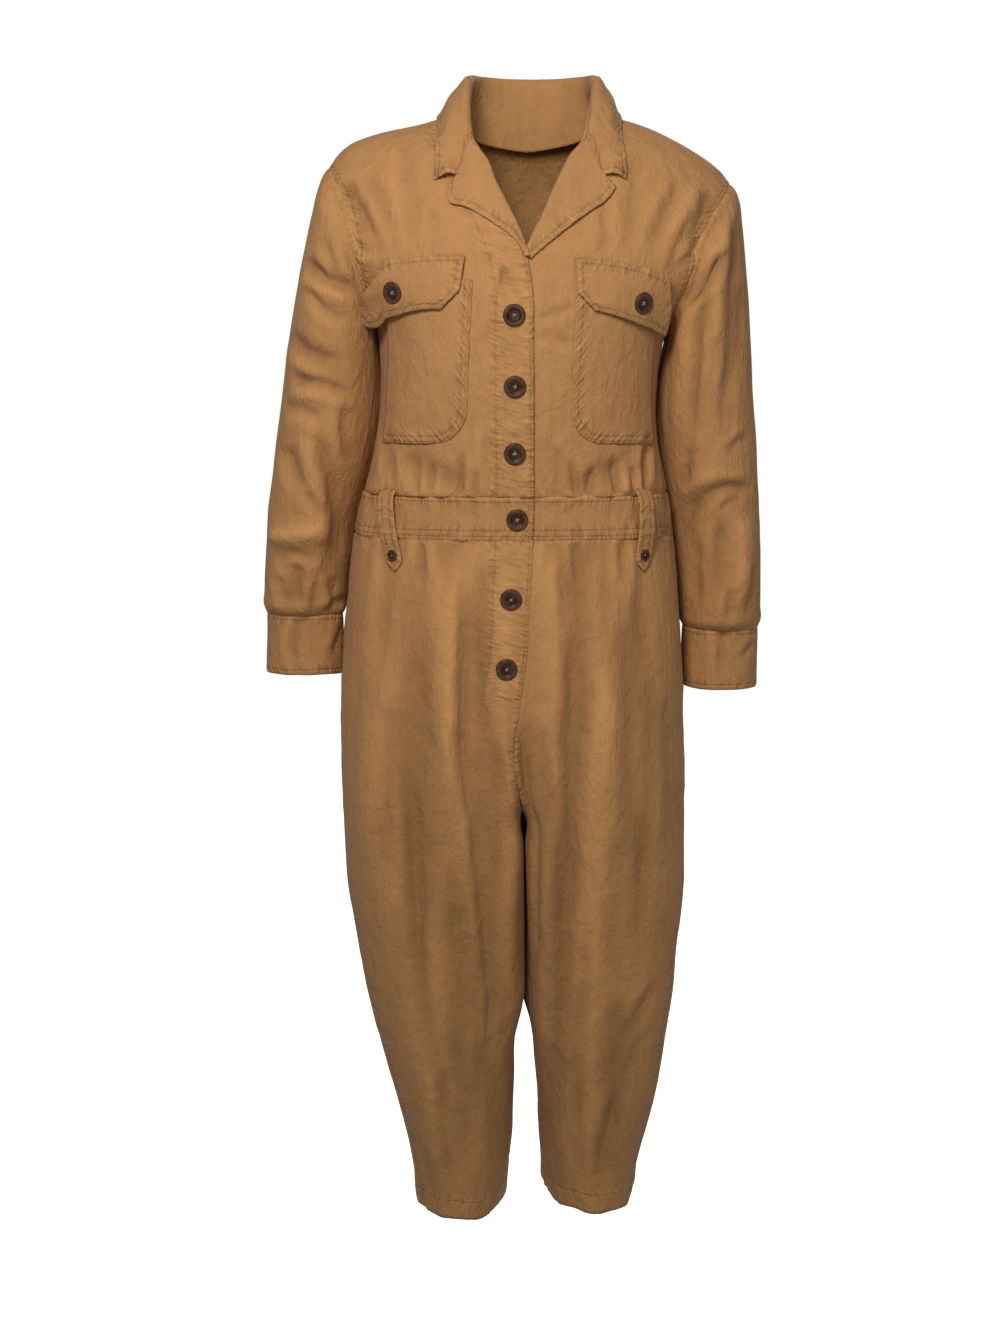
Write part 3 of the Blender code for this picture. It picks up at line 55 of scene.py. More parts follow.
def curveThrough(at, places, values):  # cubic between a table's rows, level beyond its ends
    order = np.argsort(places)
    places, values = places[order], values[order]
    slopes = np.gradient(values, places, axis=0)
    at = np.clip(at, places[0], places[-1])
    row = np.clip(np.searchsorted(places, at) - 1, 0, len(places) - 2)
    gap = places[row + 1] - places[row]
    t = (at - places[row]) / gap
    if values.ndim > 1:
        gap, t = (v.reshape(v.shape + (1,) * (values.ndim - 1)) for v in (gap, t))
    return (values[row] * (2 * t**3 - 3 * t**2 + 1) + values[row + 1] * (3 * t**2 - 2 * t**3)
            + gap * slopes[row] * (t**3 - 2 * t**2 + t) + gap * slopes[row + 1] * (t**3 - t**2))


def read(rows, at, column="x", by="z"):  # a column of a table at any place
    return curveThrough(at, rows[by], rows[column])


def gridOf(rows, first, last, count):  # row values by even steps across
    return np.meshgrid(rows, np.linspace(first, last, count), indexing="ij")


def ramp(value, start, end):  # smooth step from 0 at start to 1 at end
    t = np.clip((value - start) / (end - start), 0.0, 1.0)
    return t * t * (3 - 2 * t)


def unit(vectors):  # vectors divided by their own length
    return vectors / np.maximum(np.linalg.norm(vectors, axis=-1, keepdims=True), 1e-9)


def stacked(*values):  # numbers or grids as the parts of vectors
    return np.stack(np.broadcast_arrays(*values), axis=-1)


def circle(count):  # even angles once round, the last one step before the first
    return np.linspace(0.0, 2 * math.pi, count, endpoint=False)


def lengths(points):  # mean length run from the first row to each row
    steps = np.linalg.norm(np.diff(points, axis=0), axis=-1)
    return np.insert(np.cumsum(steps.reshape(len(steps), -1).mean(axis=1)), 0, 0.0)


def chance(cell, seed):  # a fixed number from 0 to 1 for each whole cell
    value = np.sin(cell * 12.9898 + seed * 78.233) * 43758.5453
    return value - np.floor(value)


def waver(along, seed):  # uneven wave from -1 to 1, a new chance value at each whole number
    cell = np.floor(along)
    t = ramp(along - cell, 0.0, 1.0)
    return 2 * (chance(cell, seed) * (1 - t) + chance(cell + 1, seed) * t) - 1


def softNoise(points, cell, seed):  # smooth uneven field from -1 to 1, from chance values at cell corners
    place = points / cell
    corner = np.floor(place)
    t = ramp(place - corner, 0.0, 1.0)
    total = np.zeros(points.shape[:-1])
    for k in range(8):
        pick = np.array([k & 1, k >> 1 & 1, k >> 2])
        share = np.prod(np.where(pick, t, 1 - t), axis=-1)
        total += share * chance((corner + pick) @ np.array([1.0, 57.0, 113.0]), seed)
    return 2 * total - 1


# the body's form: half width, depth to the front and depth to the back at each height
form = {
    "roundness": 2.3,            # power of the oval sections
    "shoulderTip": (0.214, -0.053),
    "underarm": (0.157, -0.215),
    "armholeHalfDepth": 0.074,
    "waist": (-0.393, -0.437),
    "breakZ": -0.15,
    "crotch": -0.735,
    "wrap": 0.038,
    "frontLift": 0.003,
    "middleY": 0.01,
}
bodyRows = table(
    "z side front back",
    (12, 68, 6, 6), (8, 82, 15, 16.5), (3, 100, 25, 28), (-3, 122, 35.5, 40), (-10.5, 145, 46, 51),
    (-20, 170, 57, 62), (-30, 190, 67, 71), (-41.5, 205, 75.5, 78.5), (-53, 214, 81, 85), (-72, 230, 89.5, 92.5),
    (-95, 238, 98, 99.5), (-120, 232, 106, 105), (-145, 215, 114, 109), (-170, 193, 120, 112),
    (-195, 169, 124.5, 113), (-215, 157.5, 126.5, 112.5), (-250, 151.5, 127, 110), (-290, 150, 125, 104.5),
    (-335, 154.5, 121.5, 97.5), (-380, 164, 118, 92.5), (-407, 170.5, 116, 92), (-437, 176, 117, 95),
)
rollRight = table(
    "z x",
    (14, -72), (-5, -68), (-25, -62.5), (-40, -56), (-48.6, -49), (-73.9, -37.9), (-91.3, -27.8), (-109.5, -17.4),
    (-126.6, -9), (-143.6, -1.4), (-150, 1),
)
rollLeft = table(
    "z x",
    (14, 72), (-5, 65), (-27, 57), (-36, 51), (-48.5, 42), (-68.7, 31.8), (-88.4, 23.8), (-111.9, 14.4),
    (-127.9, 6.7), (-143.6, 0.4), (-160, -10), (-180, -24),
)
frontEdge = table(  # free edge of the upper front, from the break to the end of the fly
    "z x",
    (-150, 1), (-167.7, 5.5), (-192.6, 9.1), (-240, 12), (-280, 14), (-350, 16.5), (-417, 18.5), (-500, 16.5),
    (-570, 12.5), (-606, 7),
)
lean = {  # how the whole suit stands: sideways shift at each height, and the lower left side
    "rows": table(
        "z shift",
        (50, 5), (0, 1), (-70, 1.5), (-110, -1), (-180, -5), (-290, -10), (-380, -12.5), (-440, -14.3),
        (-750, -14.3), (-840, -12), (-970, -6.5), (-1090, 0), (-1245, 0),
    ),
    "sideDrop": 0.0085,
    "sideDropSpan": (0.11, 0.2),
    "armSpan": (0.155, 0.215),
    "chestEnd": (-0.25, -0.36),
    "armEnd": (-1.0, -0.64),
}


def standing(points):  # points of the straight suit moved to the way it stands
    x, y, z = np.moveaxis(np.asarray(points, dtype=float), -1, 0)
    shift = read(lean["rows"], z, "shift")
    onArm = ramp(np.abs(x), *lean["armSpan"]) * ramp(z, *lean["armEnd"])
    belowChest = ramp(z, *lean["chestEnd"]) * (1 - onArm)
    drop = lean["sideDrop"] * np.sign(x) * ramp(np.abs(x), *lean["sideDropSpan"]) * (1 - belowChest)
    return stacked(x + shift, y, z - drop)


def bodyAt(z, part):  # half width or a depth of the body at a height
    return read(bodyRows, z, part)


def outsideBody(points):  # how far points lie outside the oval sections, as a share of the section
    x, y, z = np.moveaxis(points, -1, 0)
    power = form["roundness"]
    depth = np.where(y < 0, bodyAt(z, "front"), bodyAt(z, "back"))
    return (np.abs(x / bodyAt(z, "side")) ** power + np.abs(y / depth) ** power) ** (1 / power) - 1


def bodySlope(points):  # differences of outsideBody over a small step each way
    step = 0.0004
    moves = np.eye(3) * step
    return np.stack([(outsideBody(points + m) - outsideBody(points - m)) / (2 * step) for m in moves], axis=-1)


def oval(share, power=None):  # depth of an oval at a share of its half width
    power = form["roundness"] if power is None else power
    return (1 - np.clip(share, 0.0, 1.0) ** power) ** (1 / power)


def sectionPoint(side, depth, angle, middle=0.0):  # angle 0 is the front, 90 degrees the outer side
    sine, cosine = np.sin(angle), np.cos(angle)
    share = np.abs(sine) ** (2 / form["roundness"])
    return middle + side * np.sign(sine) * share, -depth * np.sign(cosine) * oval(share)


def angleAt(share):  # the angle of sectionPoint that lies at a share of the half width
    return np.sign(share) * np.arcsin(np.clip(np.abs(share), 0.0, 1.0) ** (form["roundness"] / 2))


armholeMiddle = (form["shoulderTip"][1] + form["underarm"][1]) / 2
armholeHalf = (form["shoulderTip"][1] - form["underarm"][1]) / 2


def outerAngle(z, face):  # where a front or back ends: shoulder seam, armhole or side seam
    rise = np.clip((z - armholeMiddle) / armholeHalf, -1.0, 1.0)
    depth = form["armholeHalfDepth"] * np.sqrt(1 - rise**2)
    return np.arccos(np.clip(depth / bodyAt(z, face), 0.0, 1.0) ** (form["roundness"] / 2))


def bodyGrid(sign, z, angle, face):  # section points of a front or back, on the side of the sign
    depth = bodyAt(z, face)
    x, y = sectionPoint(bodyAt(z, "side"), depth if face == "front" else -depth, angle)
    points = stacked(sign * x, y, z)
    return points, unit(bodySlope(points))


def layOnBody(x, z, height):  # points over the front of the body, moved out along its normals
    y = -bodyAt(z, "front") * oval(np.clip(np.abs(x / bodyAt(z, "side")), 0.0, 0.9999))
    points = stacked(x, y, z)
    normals = unit(bodySlope(points))
    return points + normals * (height + mainHeight(points, normals, bodyFolds))[..., None], normals


def clearOfBody(points, clearance):  # pushed out along the slope four times, each time by what the clearance lacks
    for _ in range(4):
        slope = bodySlope(points)
        size = np.linalg.norm(slope, axis=-1)
        push = np.maximum(clearance - outsideBody(points) / size, 0.0)
        points = points + (slope / size[..., None]) * push[..., None]
    return points


# folds, listed as strokes seen from the front or the back: from x1 z1 to x2 z2, a trough where
# depth is below 0, with a low ridge beside it; bend bows the stroke sideways, and its ends fade
foldLook = {"facing": (0.05, 0.6), "ridge": 0.45, "gain": 1.45, "start": (-0.1, 0.1), "end": (1.06, 0.62),
            "wander": 0.0022, "wanderStep": 0.03, "soft": (0.0008, 0.046), "fine": (0.0003, 0.015)}


def strokes(front, back):  # x1, z1, x2, z2, width, depth and bend of each, in millimetres
    rows = [(-1, *stroke) for stroke in front] + [(1, *stroke) for stroke in back]
    return table("facing x1 z1 x2 z2 width depth bend", *rows)


bodyFolds = strokes([
    (-60, -443, -56, -1000, 10, 3, 6), (-27, -470, -28, -640, 11, 4, 0), (-86, -470, -84, -800, 17, 4.5, 0),
    (-118, -560, -120, -960, 18, -4.5, 0), (-75, -830, -70, -1170, 15, -5, 0), (-6, -640, -4, -960, 10, -7, 0),
    (52, -450, 56, -720, 15, -4.5, 0), (80, -600, 70, -1000, 18, 5, 0), (110, -520, 118, -900, 17, -4.5, 0),
    (35, -760, 38, -1130, 13, -4.5, 0), (105, -960, 86, -1200, 14, -5, 0), (-190, -68, -164, -138, 9, -4.5, 0),
    (190, -80, 166, -145, 9, -4.5, 0), (-130, -352, -60, -384, 12, -3, 0), (50, -384, 112, -350, 12, -3, 0),
], [
    (-185, -85, -130, -190, 13, -5, 0), (185, -90, 130, -200, 13, -5, 0), (-60, -190, -70, -380, 16, -4, 0),
    (55, -210, 58, -385, 16, -4, 0), (-110, -330, -30, -376, 11, -3.5, 0), (100, -335, 20, -378, 11, -3.5, 0),
    (-60, -450, -88, -640, 15, -5, 0), (50, -450, 75, -650, 15, -5, 0), (-150, -700, -30, -775, 14, -6, 0),
    (130, -705, 10, -780, 14, -6, 0), (-105, -790, -90, -1110, 16, -5, 0), (95, -800, 84, -1130, 16, -5, 0),
    (-60, -950, -66, -1200, 14, 4, 0), (50, -960, 56, -1190, 14, 4, 0),
])
bodyCreases = strokes([  # finer: chest, above the waist, down the legs and near the hems
    (-196, -120, -150, -142, 5, -2.2, 3), (-178, -92, -150, -150, 5.5, -2, -4), (188, -118, 150, -158, 5, -2.2, -3),
    (170, -100, 145, -172, 5.5, -2, 4), (-150, -300, -142, -388, 6, -2.2, 3), (128, -330, 124, -390, 5, -3, 2),
    (136, -345, 133, -391, 4.5, 2, 0), (-44, -330, -47, -390, 5, -1.4, 0), (30, -345, 36, -390, 5, -1.4, 0),
    (-88, -360, -84, -391, 4.5, -1.4, 0), (-78, -440, -88, -520, 6.5, -2, 3), (32, -440, 34, -530, 6.5, -1.8, -2),
    (80, -440, 86, -540, 6.5, -1.8, 2), (124, -445, 130, -600, 8, -2.4, 4), (-150, -450, -160, -600, 8, -2.2, -3),
    (-146, -620, -150, -820, 12, -3, 4), (-100, -640, -94, -780, 10, -2.4, -4), (-30, -660, -24, -860, 8, -2.8, 2),
    (16, -640, 22, -760, 9, -2.2, 2), (150, -620, 156, -800, 12, -2.8, -4), (92, -760, 98, -960, 12, -2.4, 4),
    (-108, -960, -86, -1120, 10, -2.6, 4), (-46, -1000, -40, -1170, 9, -2.2, -3),
    (128, -1000, 100, -1130, 8, -2.8, 4), (100, -1080, 78, -1180, 7, -2.4, -3), (60, -1060, 64, -1190, 9, -2.2, 3),
    (-116, -1150, -108, -1222, 6, -1.8, 0), (40, -1150, 36, -1214, 6, -1.8, 0), (-26, -160, -19, -208, 3.6, -1.7, 2),
    (-24, -162, -4, -200, 3.4, -1.5, 0), (-27, -163, -38, -200, 4, -1.3, 0), (12, -210, 50, -190, 5, -1.4, 2),
    (12, -226, 56, -236, 5.5, -1.4, 0), (-34, -214, -50, -240, 5, -1.4, 0), (112, -40, 104, -150, 9, -1.8, 2),
    (80, -100, 74, -150, 6, -1.4, 0), (-128, -30, -118, -150, 9, -1.8, -3), (-98, -100, -94, -146, 6, -1.3, 0),
    (156, -70, 124, -150, 7.5, -2, 3), (-168, -60, -136, -150, 7.5, -2, -3), (-118, -389, -122, -350, 4.8, -3.7, 0),
    (-104, -389, -100, -356, 4.4, -3.4, 0), (-72, -389, -70, -346, 4.6, -3.7, 0),
    (-58, -389, -52, -362, 4.2, -3.1, 0), (48, -389, 44, -352, 4.6, -3.4, 0), (64, -389, 70, -358, 4.4, -3.4, 0),
    (92, -389, 90, -350, 4.8, -3.7, 0), (110, -389, 114, -360, 4.2, -3.1, 0), (-112, -440, -116, -482, 5.1, -3.7, 0),
    (-96, -440, -94, -474, 4.6, -3.4, 0), (50, -440, 54, -484, 5.1, -3.7, 0), (66, -440, 64, -472, 4.6, -3.1, 0),
    (98, -440, 104, -490, 5.4, -3.7, 0), (22, -440, 20, -470, 4.6, -3.1, 0), (-64, -500, -72, -760, 7, -3, 3),
    (-128, -700, -118, -1020, 8.5, -3, -4), (44, -560, 50, -860, 7.5, -2.8, 3), (134, -600, 122, -900, 8, -3, -3),
    (70, -840, 60, -1120, 7.5, -2.8, 4), (138, -940, 100, -1060, 7, -2.8, 5), (-60, -900, -56, -1130, 7.5, -2.6, -3),
    (-96, -1040, -90, -1200, 6.5, -2.4, 3),
], [
    (-196, -130, -150, -175, 6, -2.4, 3), (196, -135, 150, -180, 6, -2.4, -3), (-120, -140, -40, -165, 10, -1.8, 4),
    (110, -150, 30, -172, 10, -1.8, -4), (-120, -240, -112, -385, 9, -2.4, -3), (108, -250, 104, -388, 9, -2.4, 3),
    (0, -300, -4, -388, 8, -2, 2), (-26, -340, -32, -390, 6, -1.8, 0), (-112, -445, -120, -590, 9, -2.6, 3),
    (96, -445, 108, -600, 9, -2.6, -3), (-30, -445, -40, -560, 8, -2.2, 0), (12, -450, 26, -580, 8, -2.2, 0),
    (-110, -745, -20, -800, 8, -3, 4), (100, -750, 4, -806, 8, -3, -4), (-150, -860, -130, -1080, 11, -3, 4),
    (144, -860, 128, -1090, 11, -3, -4), (-46, -850, -50, -1060, 10, -2.8, 2), (30, -860, 36, -1080, 10, -2.8, -2),
    (-90, -1100, -84, -1215, 8, -2.4, 2), (84, -1100, 78, -1210, 8, -2.4, -2),
])
sleeveFolds = strokes([
    (-236, -152, -172, -184, 7, -5.8, 0), (-262, -222, -190, -256, 8.5, -4.8, 4),
    (-250, -272, -186, -288, 7.5, -5.2, -4), (-262, -345, -243, -392, 8, -4, 0), (-224, -335, -226, -490, 9, -5, -16),
    (-282, -442, -214, -434, 10, 4.5, 0), (-250, -470, -255, -520, 9, -4, 0), (219, -115, 207, -340, 9, -4.5, -3),
    (186, -190, 174, -345, 7, -4.8, 3), (204, -150, 156, -200, 7, -5.8, 0), (241, -386, 172, -436, 8, -4.5, 20),
    (236, -420, 232, -520, 12, 4, 0),
], [
    (-232, -130, -180, -200, 13, -5.5, 0), (-258, -300, -190, -320, 12, -5, 0), (-262, -345, -200, -385, 11, -4.5, 0),
    (-250, -400, -240, -520, 12, 4, 0), (236, -135, 186, -210, 13, -5.5, 0), (246, -310, 176, -330, 12, -5, 0),
    (250, -360, 190, -395, 11, -4.5, 0), (226, -410, 218, -520, 12, 4, 0),
])
sleeveCreases = strokes([
    (-232, -180, -184, -212, 6, -2.6, 4), (-214, -130, -196, -166, 5, -2, 2), (-236, -254, -186, -268, 5.5, -2.2, 3),
    (-262, -300, -220, -312, 7, -2.4, -3), (-198, -300, -190, -372, 6, -2.2, 2),
    (-240, -392, -222, -420, 5.5, -2.2, 0), (-262, -452, -226, -462, 5, -2, 2),
    (-274, -486, -262, -524, 5.5, -2.4, 2), (-232, -490, -236, -530, 5, -2.4, 0),
    (-214, -486, -218, -528, 5, -2.2, 0), (-200, -512, -232, -528, 5, -2.2, 0), (206, -140, 176, -176, 5.5, -2.4, 3),
    (230, -170, 228, -280, 7, -2.2, 2), (196, -230, 188, -330, 6, -2.2, -2), (238, -330, 214, -352, 6, -2.2, 2),
    (176, -345, 168, -390, 5, -2.4, 0), (232, -400, 206, -412, 5.5, -2.2, 3), (212, -430, 206, -500, 7, -2.4, 2),
    (190, -450, 186, -524, 6, -2.4, -2), (252, -470, 248, -532, 5.5, -2.4, 2), (222, -498, 222, -538, 5, -2.4, 0),
], [
    (-246, -190, -196, -230, 8, -2.8, 4), (-256, -325, -200, -345, 6, -2.8, 3), (-228, -400, -222, -500, 8, -2.6, 2),
    (-206, -440, -204, -525, 6, -2.6, 0), (-266, -470, -262, -528, 5.5, -2.4, 0), (242, -190, 196, -236, 8, -2.8, -4),
    (244, -338, 188, -362, 6, -2.8, -3), (206, -410, 202, -510, 8, -2.6, 2), (186, -450, 184, -525, 6, -2.6, 0),
    (244, -470, 240, -532, 5.5, -2.4, 0),
])


def unevenness(points):  # height of the slight unevenness of washed cloth
    soft, fine = foldLook["soft"], foldLook["fine"]
    return soft[0] * softNoise(points, soft[1], 3) + fine[0] * softNoise(points, fine[1], 8)


def foldHeight(points, normals, folds):
    # each stroke is a bell across it, less a part of a second bell beside it, faded at its ends and out of sight
    x, _, z = np.moveaxis(standing(points), -1, 0)
    height = np.zeros(x.shape)
    for row, (facing, x1, z1, x2, z2, width, depth, bend) in enumerate(zip(*folds.values())):
        runX, runZ = x2 - x1, z2 - z1
        length = math.hypot(runX, runZ)
        along = ((x - x1) * runX + (z - z1) * runZ) / length**2
        aside = ((x - x1) * runZ - (z - z1) * runX) / length
        onLine = np.clip(along, 0.0, 1.0)
        aside = aside - bend * 4 * onLine * (1 - onLine)
        aside = aside - foldLook["wander"] * waver(along * length / foldLook["wanderStep"], row)
        fading = ramp(along, *foldLook["start"]) * ramp(along, *foldLook["end"])
        stroke = np.exp(-((aside / width) ** 2))
        beside = np.exp(-((np.abs(aside) / width - 2.0) ** 2))
        seen = ramp(normals[..., 1] * facing, *foldLook["facing"])
        height += depth * foldLook["gain"] * (stroke - foldLook["ridge"] * beside * (aside > 0)) * fading * seen
    return height


def mainHeight(points, normals, *foldTables):  # the heights of all the folds and the unevenness, added
    return sum(foldHeight(points, normals, folds) for folds in foldTables) + unevenness(points)


def bodyAxis(points):  # line up the middle of the body, level with each point
    return points * np.array([0.0, 0.0, 1.0]) + np.array([0.0, form["middleY"], 0.0])


def bodyShade(points):  # height of the folds already in the body's own grids, for the material, which paints it as shade in their troughs and light on their ridges
    normals = outwardNormals(points, bodyAxis(points))
    return foldHeight(points, normals, bodyFolds) + foldHeight(points, normals, bodyCreases)


# how the edges are sewn: depth of the seam's line, how far in its stitch lines run,
# the puckers that they draw up, and the gathers that run out from it
def seam(sink, sinkWidth, pucker, period, reach, **others):  # millimetres
    sizes = {"sink": sink, "sinkWidth": sinkWidth, "pucker": pucker, "period": period, "reach": reach, **others}
    return {name: np.array(size) * 0.001 for name, size in sizes.items()}


sewing = {   # depth and width of the seam; height, length and reach of its puckers; its stitch lines
    "none": {},
    "hidden": seam(1.6, 2, 0.4, 12, 10),
    "plain": seam(1.8, 1.8, 0.7, 11, 14),
    "felled": seam(1.6, 1.6, 1, 10.5, 13, lines=(2.2, 7.8)),
    "armhole": seam(1, 1.8, 0.6, 12, 14, lines=(6.5,)),
    "head": seam(0.6, 1.8, 0.9, 13, 20),
    "waist": seam(0.7, 1.8, 1.4, 10, 14, gather=3.2, gatherPeriod=14, gatherReach=50),
    "band": seam(0.6, 1.4, 1.9, 11, 34, lines=(4.5,)),
    "bandLow": seam(0.6, 1.4, 1.7, 12, 28, lines=(3.2, 9.2)),
    "placket": seam(0.8, 1.2, 1, 10.5, 44, lines=(3, 38.5), step=0.7, stepAt=38.5),
    "hem": seam(0.6, 1.2, 1.8, 12.5, 32, lines=(22.5,), step=0.8, stepAt=23.5),
    "free": seam(0.7, 1.2, 0.8, 9.5, 11, lines=(5.5,)),
    "double": seam(0.8, 1.2, 1.1, 9.5, 12, lines=(1.8, 7)),
    "cuff": seam(0.8, 1.4, 1, 10, 12, lines=(5,)),
}
stitchLook = {"step": 0.0006, "length": 0.0028, "pitch": 0.0038, "width": 0.00085, "height": 0.00032}
cloth = {"thickness": 0.0012, "folded": 0.0016, "doubled": 0.002, "seamGap": 0.0006, "layer": 0.0024,
         "shadedHeight": 0.006, "stepWidth": 0.0018, "gatherWander": 0.061, "gatherStart": 0.004}


def sewnHeight(away, along, kind, seed):  # height of the cloth near a sewn edge
    spec = sewing[kind]
    if not spec:
        return np.zeros(away.shape)
    height = -spec["sink"] * np.exp(-((away / spec["sinkWidth"]) ** 2))
    window = np.exp(-((away / spec["reach"]) ** 2) * 1.6)
    wave = waver(along / spec["period"], seed) + 0.5 * waver(along / spec["period"] * 1.9, seed + 7)
    slant = waver((along + 0.4 * away) / spec["period"], seed + 3)
    height += spec["pucker"] * window * (0.6 * wave + 0.4 * slant)
    if "step" in spec:
        height += spec["step"] * (1 - ramp(away, spec["stepAt"], spec["stepAt"] + cloth["stepWidth"]))
    if "gather" in spec:
        uneven = 0.55 + 0.45 * waver(along / cloth["gatherWander"], seed + 5)
        fading = np.exp(-away / spec["gatherReach"] * 2.2) * ramp(away, 0.0, cloth["gatherStart"])
        height += spec["gather"] * waver(along / spec["gatherPeriod"], seed + 11) * uneven * fading
    return height


# meshes
def gridNormals(points, closed=False):  # the step across crossed with the step down, to unit length
    across = (np.roll(points, -1, axis=1) - np.roll(points, 1, axis=1)) if closed else np.gradient(points, axis=1)
    return unit(np.cross(across, np.gradient(points, axis=0)))


def outwardNormals(points, axis, closed=False):  # turned over if most of them point at the axis
    normals = gridNormals(points, closed)
    return normals if np.sum(normals * (points - axis)) > 0 else -normals


def seamMarks(points, edges, closed):
    # for the material: how far a sewn edge is, its two stitch lines and the run along it
    looped = np.concatenate([points, points[:, :1]], axis=1) if closed else points
    marks = {}
    for name, pair in (("seamAcross", ("inner", "outer")), ("seamDown", ("top", "bottom"))):
        values = np.zeros((*looped.shape[:2], 4)) + (1.0, -1.0, -1.0, 0.0)
        for edge in pair:
            if sewing[edges.get(edge, "none")]:
                away, along = edgeRun(looped, edge)
                lines = (*sewing[edges[edge]].get("lines", ()), -1.0, -1.0)[:2]
                here = stacked(away, *lines, along)
                values = np.where((away < values[..., 0])[..., None], here, values)
        marks[name] = values
    return marks


def runs(points, axis, closed=False):  # length run from the first row or column
    if closed and axis == 1:
        points = np.concatenate([points, points[:, :1]], axis=1)
    steps = np.linalg.norm(np.diff(points, axis=axis), axis=-1)
    return np.insert(np.cumsum(steps, axis=axis), 0, 0.0, axis=axis)


def edgeRun(points, edge, closed=False):  # distance from an edge, and the length run along it
    across, down = runs(points, 1, closed), runs(points, 0)
    if closed:
        across = across[:, :-1]
    if edge in ("inner", "outer"):
        return (across if edge == "inner" else across[:, -1:] - across), down
    return (down if edge == "top" else down[-1:] - down), across


def edgeFirst(grid, edge):  # the same grid with an edge as its first row
    grid = grid.swapaxes(0, 1) if edge in ("inner", "outer") else grid
    return grid[::-1] if edge in ("outer", "bottom") else grid


def edgeBack(grid, edge):  # edgeFirst undone
    grid = grid[::-1] if edge in ("outer", "bottom") else grid
    return grid.swapaxes(0, 1) if edge in ("inner", "outer") else grid


def tuck(points, normals, edge, reach=0.004, depth=0.0022):  # extra cloth turned in under a seam
    grid, up = edgeFirst(points, edge), edgeFirst(normals, edge)[0]
    out = unit(grid[0] - grid[2])
    extra = [grid[0] + out * reach * s - up * depth * d for s, d in ((1.0, 1.0), (0.55, 0.85), (0.2, 0.45))]
    return edgeBack(np.concatenate([np.stack(extra), grid]), edge)


def gridFaces(rows, columns, closed):  # a quad on each four neighbouring points
    across = columns if closed else columns - 1
    row, column = (v.ravel() for v in np.meshgrid(np.arange(rows - 1), np.arange(across), indexing="ij"))
    first, second = row * columns + column, row * columns + (column + 1) % columns
    return stacked(first, second, second + columns, first + columns), row, column


def meshFrom(name, points, faces, material, smooth=True):
    mesh = bpy.data.meshes.new(name)
    mesh.from_pydata(points.reshape(-1, 3), [], faces)
    mesh.materials.append(material)
    if smooth:
        mesh.shade_smooth()
    return mesh


def gridMesh(name, points, facing, material, closed, marks):
    # quads of a grid turned to face outwards, with a map in metres of cloth
    faces, row, column = gridFaces(*points.shape[:2], closed)
    order = [0, 3, 2, 1] if facing > 0 else [0, 1, 2, 3]
    mesh = meshFrom(name, points, faces[:, order], material)
    u, v = runs(points, 1, closed), runs(points, 0)
    if closed:
        v = np.concatenate([v, v[:, :1]], axis=1)
    corners = (stacked(row, row, row + 1, row + 1)[:, order],
               stacked(column, column + 1, column + 1, column)[:, order])
    flat = stacked(u - u[:, -1:] / 2, v)[corners]
    mesh.uv_layers.new(name="cloth").uv.foreach_set("vector", flat.ravel().astype(np.float32))
    for mark, values in marks.items():
        if values.ndim == 3:
            layer, values, field = mesh.attributes.new(mark, "FLOAT_COLOR", "CORNER"), values[corners], "color"
        else:
            layer, field = mesh.attributes.new(mark, "FLOAT", "POINT"), "value"
        layer.data.foreach_set(field, values.ravel().astype(np.float32))
    return mesh


def addObject(name, data):
    made = bpy.data.objects.new(name, data)
    bpy.context.scene.collection.objects.link(made)
    return made


def addPiece(name, mesh, stands):  # rides on the root and replaces the solids that it stands for
    piece = addObject(name, mesh)
    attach(piece, "root")
    if stands:
        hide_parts(*stands)
    return piece


def sampled(at, run, values):  # x, y and z read at any lengths along a line
    return np.stack([np.interp(at, run, values[:, k]) for k in range(3)], axis=-1)


def sewStitches(name, lines):  # one small rounded stitch after another along each line
    half, wide, high = stitchLook["length"] / 2, stitchLook["width"] / 2, stitchLook["height"]
    made = []
    for points, normals in lines:
        run = lengths(points)
        count = int(run[-1] / stitchLook["pitch"])
        if count < 2:
            continue
        at = (np.arange(count) + 0.5) * stitchLook["pitch"]
        place, up = sampled(at, run, points), unit(sampled(at, run, normals))
        tangent = unit(sampled(at + stitchLook["step"], run, points) - sampled(at - stitchLook["step"], run, points))
        side = unit(np.cross(up, tangent))
        corners = [place + tangent * half, place + side * wide + up * high * 0.4, place - tangent * half,
                   place - side * wide + up * high * 0.4, place + up * high, place - up * high * 1.5]
        made.append(np.stack(corners, axis=1))
    made = np.concatenate(made)
    corner = np.array([[0, 1, 4], [1, 2, 4], [2, 3, 4], [3, 0, 4], [1, 0, 5], [2, 1, 5], [3, 2, 5], [0, 3, 5]])
    faces = (np.arange(len(made))[:, None, None] * 6 + corner).reshape(-1, 3)
    return addPiece(name, meshFrom(name, made, faces, threadFinish, smooth=False), ())


def lineAt(points, normals, edge, distance, closed=False):  # the line on a grid this far from an edge
    away, points, normals = (edgeFirst(v, edge) for v in (edgeRun(points, edge, closed)[0], points, normals))
    after = np.clip((away >= distance).argmax(axis=0), 1, None)
    column = np.arange(points.shape[1])
    t = ((distance - away[after - 1, column]) / (away[after, column] - away[after - 1, column]))[:, None]
    t = np.clip(t, 0.0, 1.0)
    pair = [grid[after - 1, column] * (1 - t) + grid[after, column] * t for grid in (points, normals)]
    return [np.concatenate([line, line[:1]]) for line in pair] if closed else pair


allStitches = []
madePieces = {}


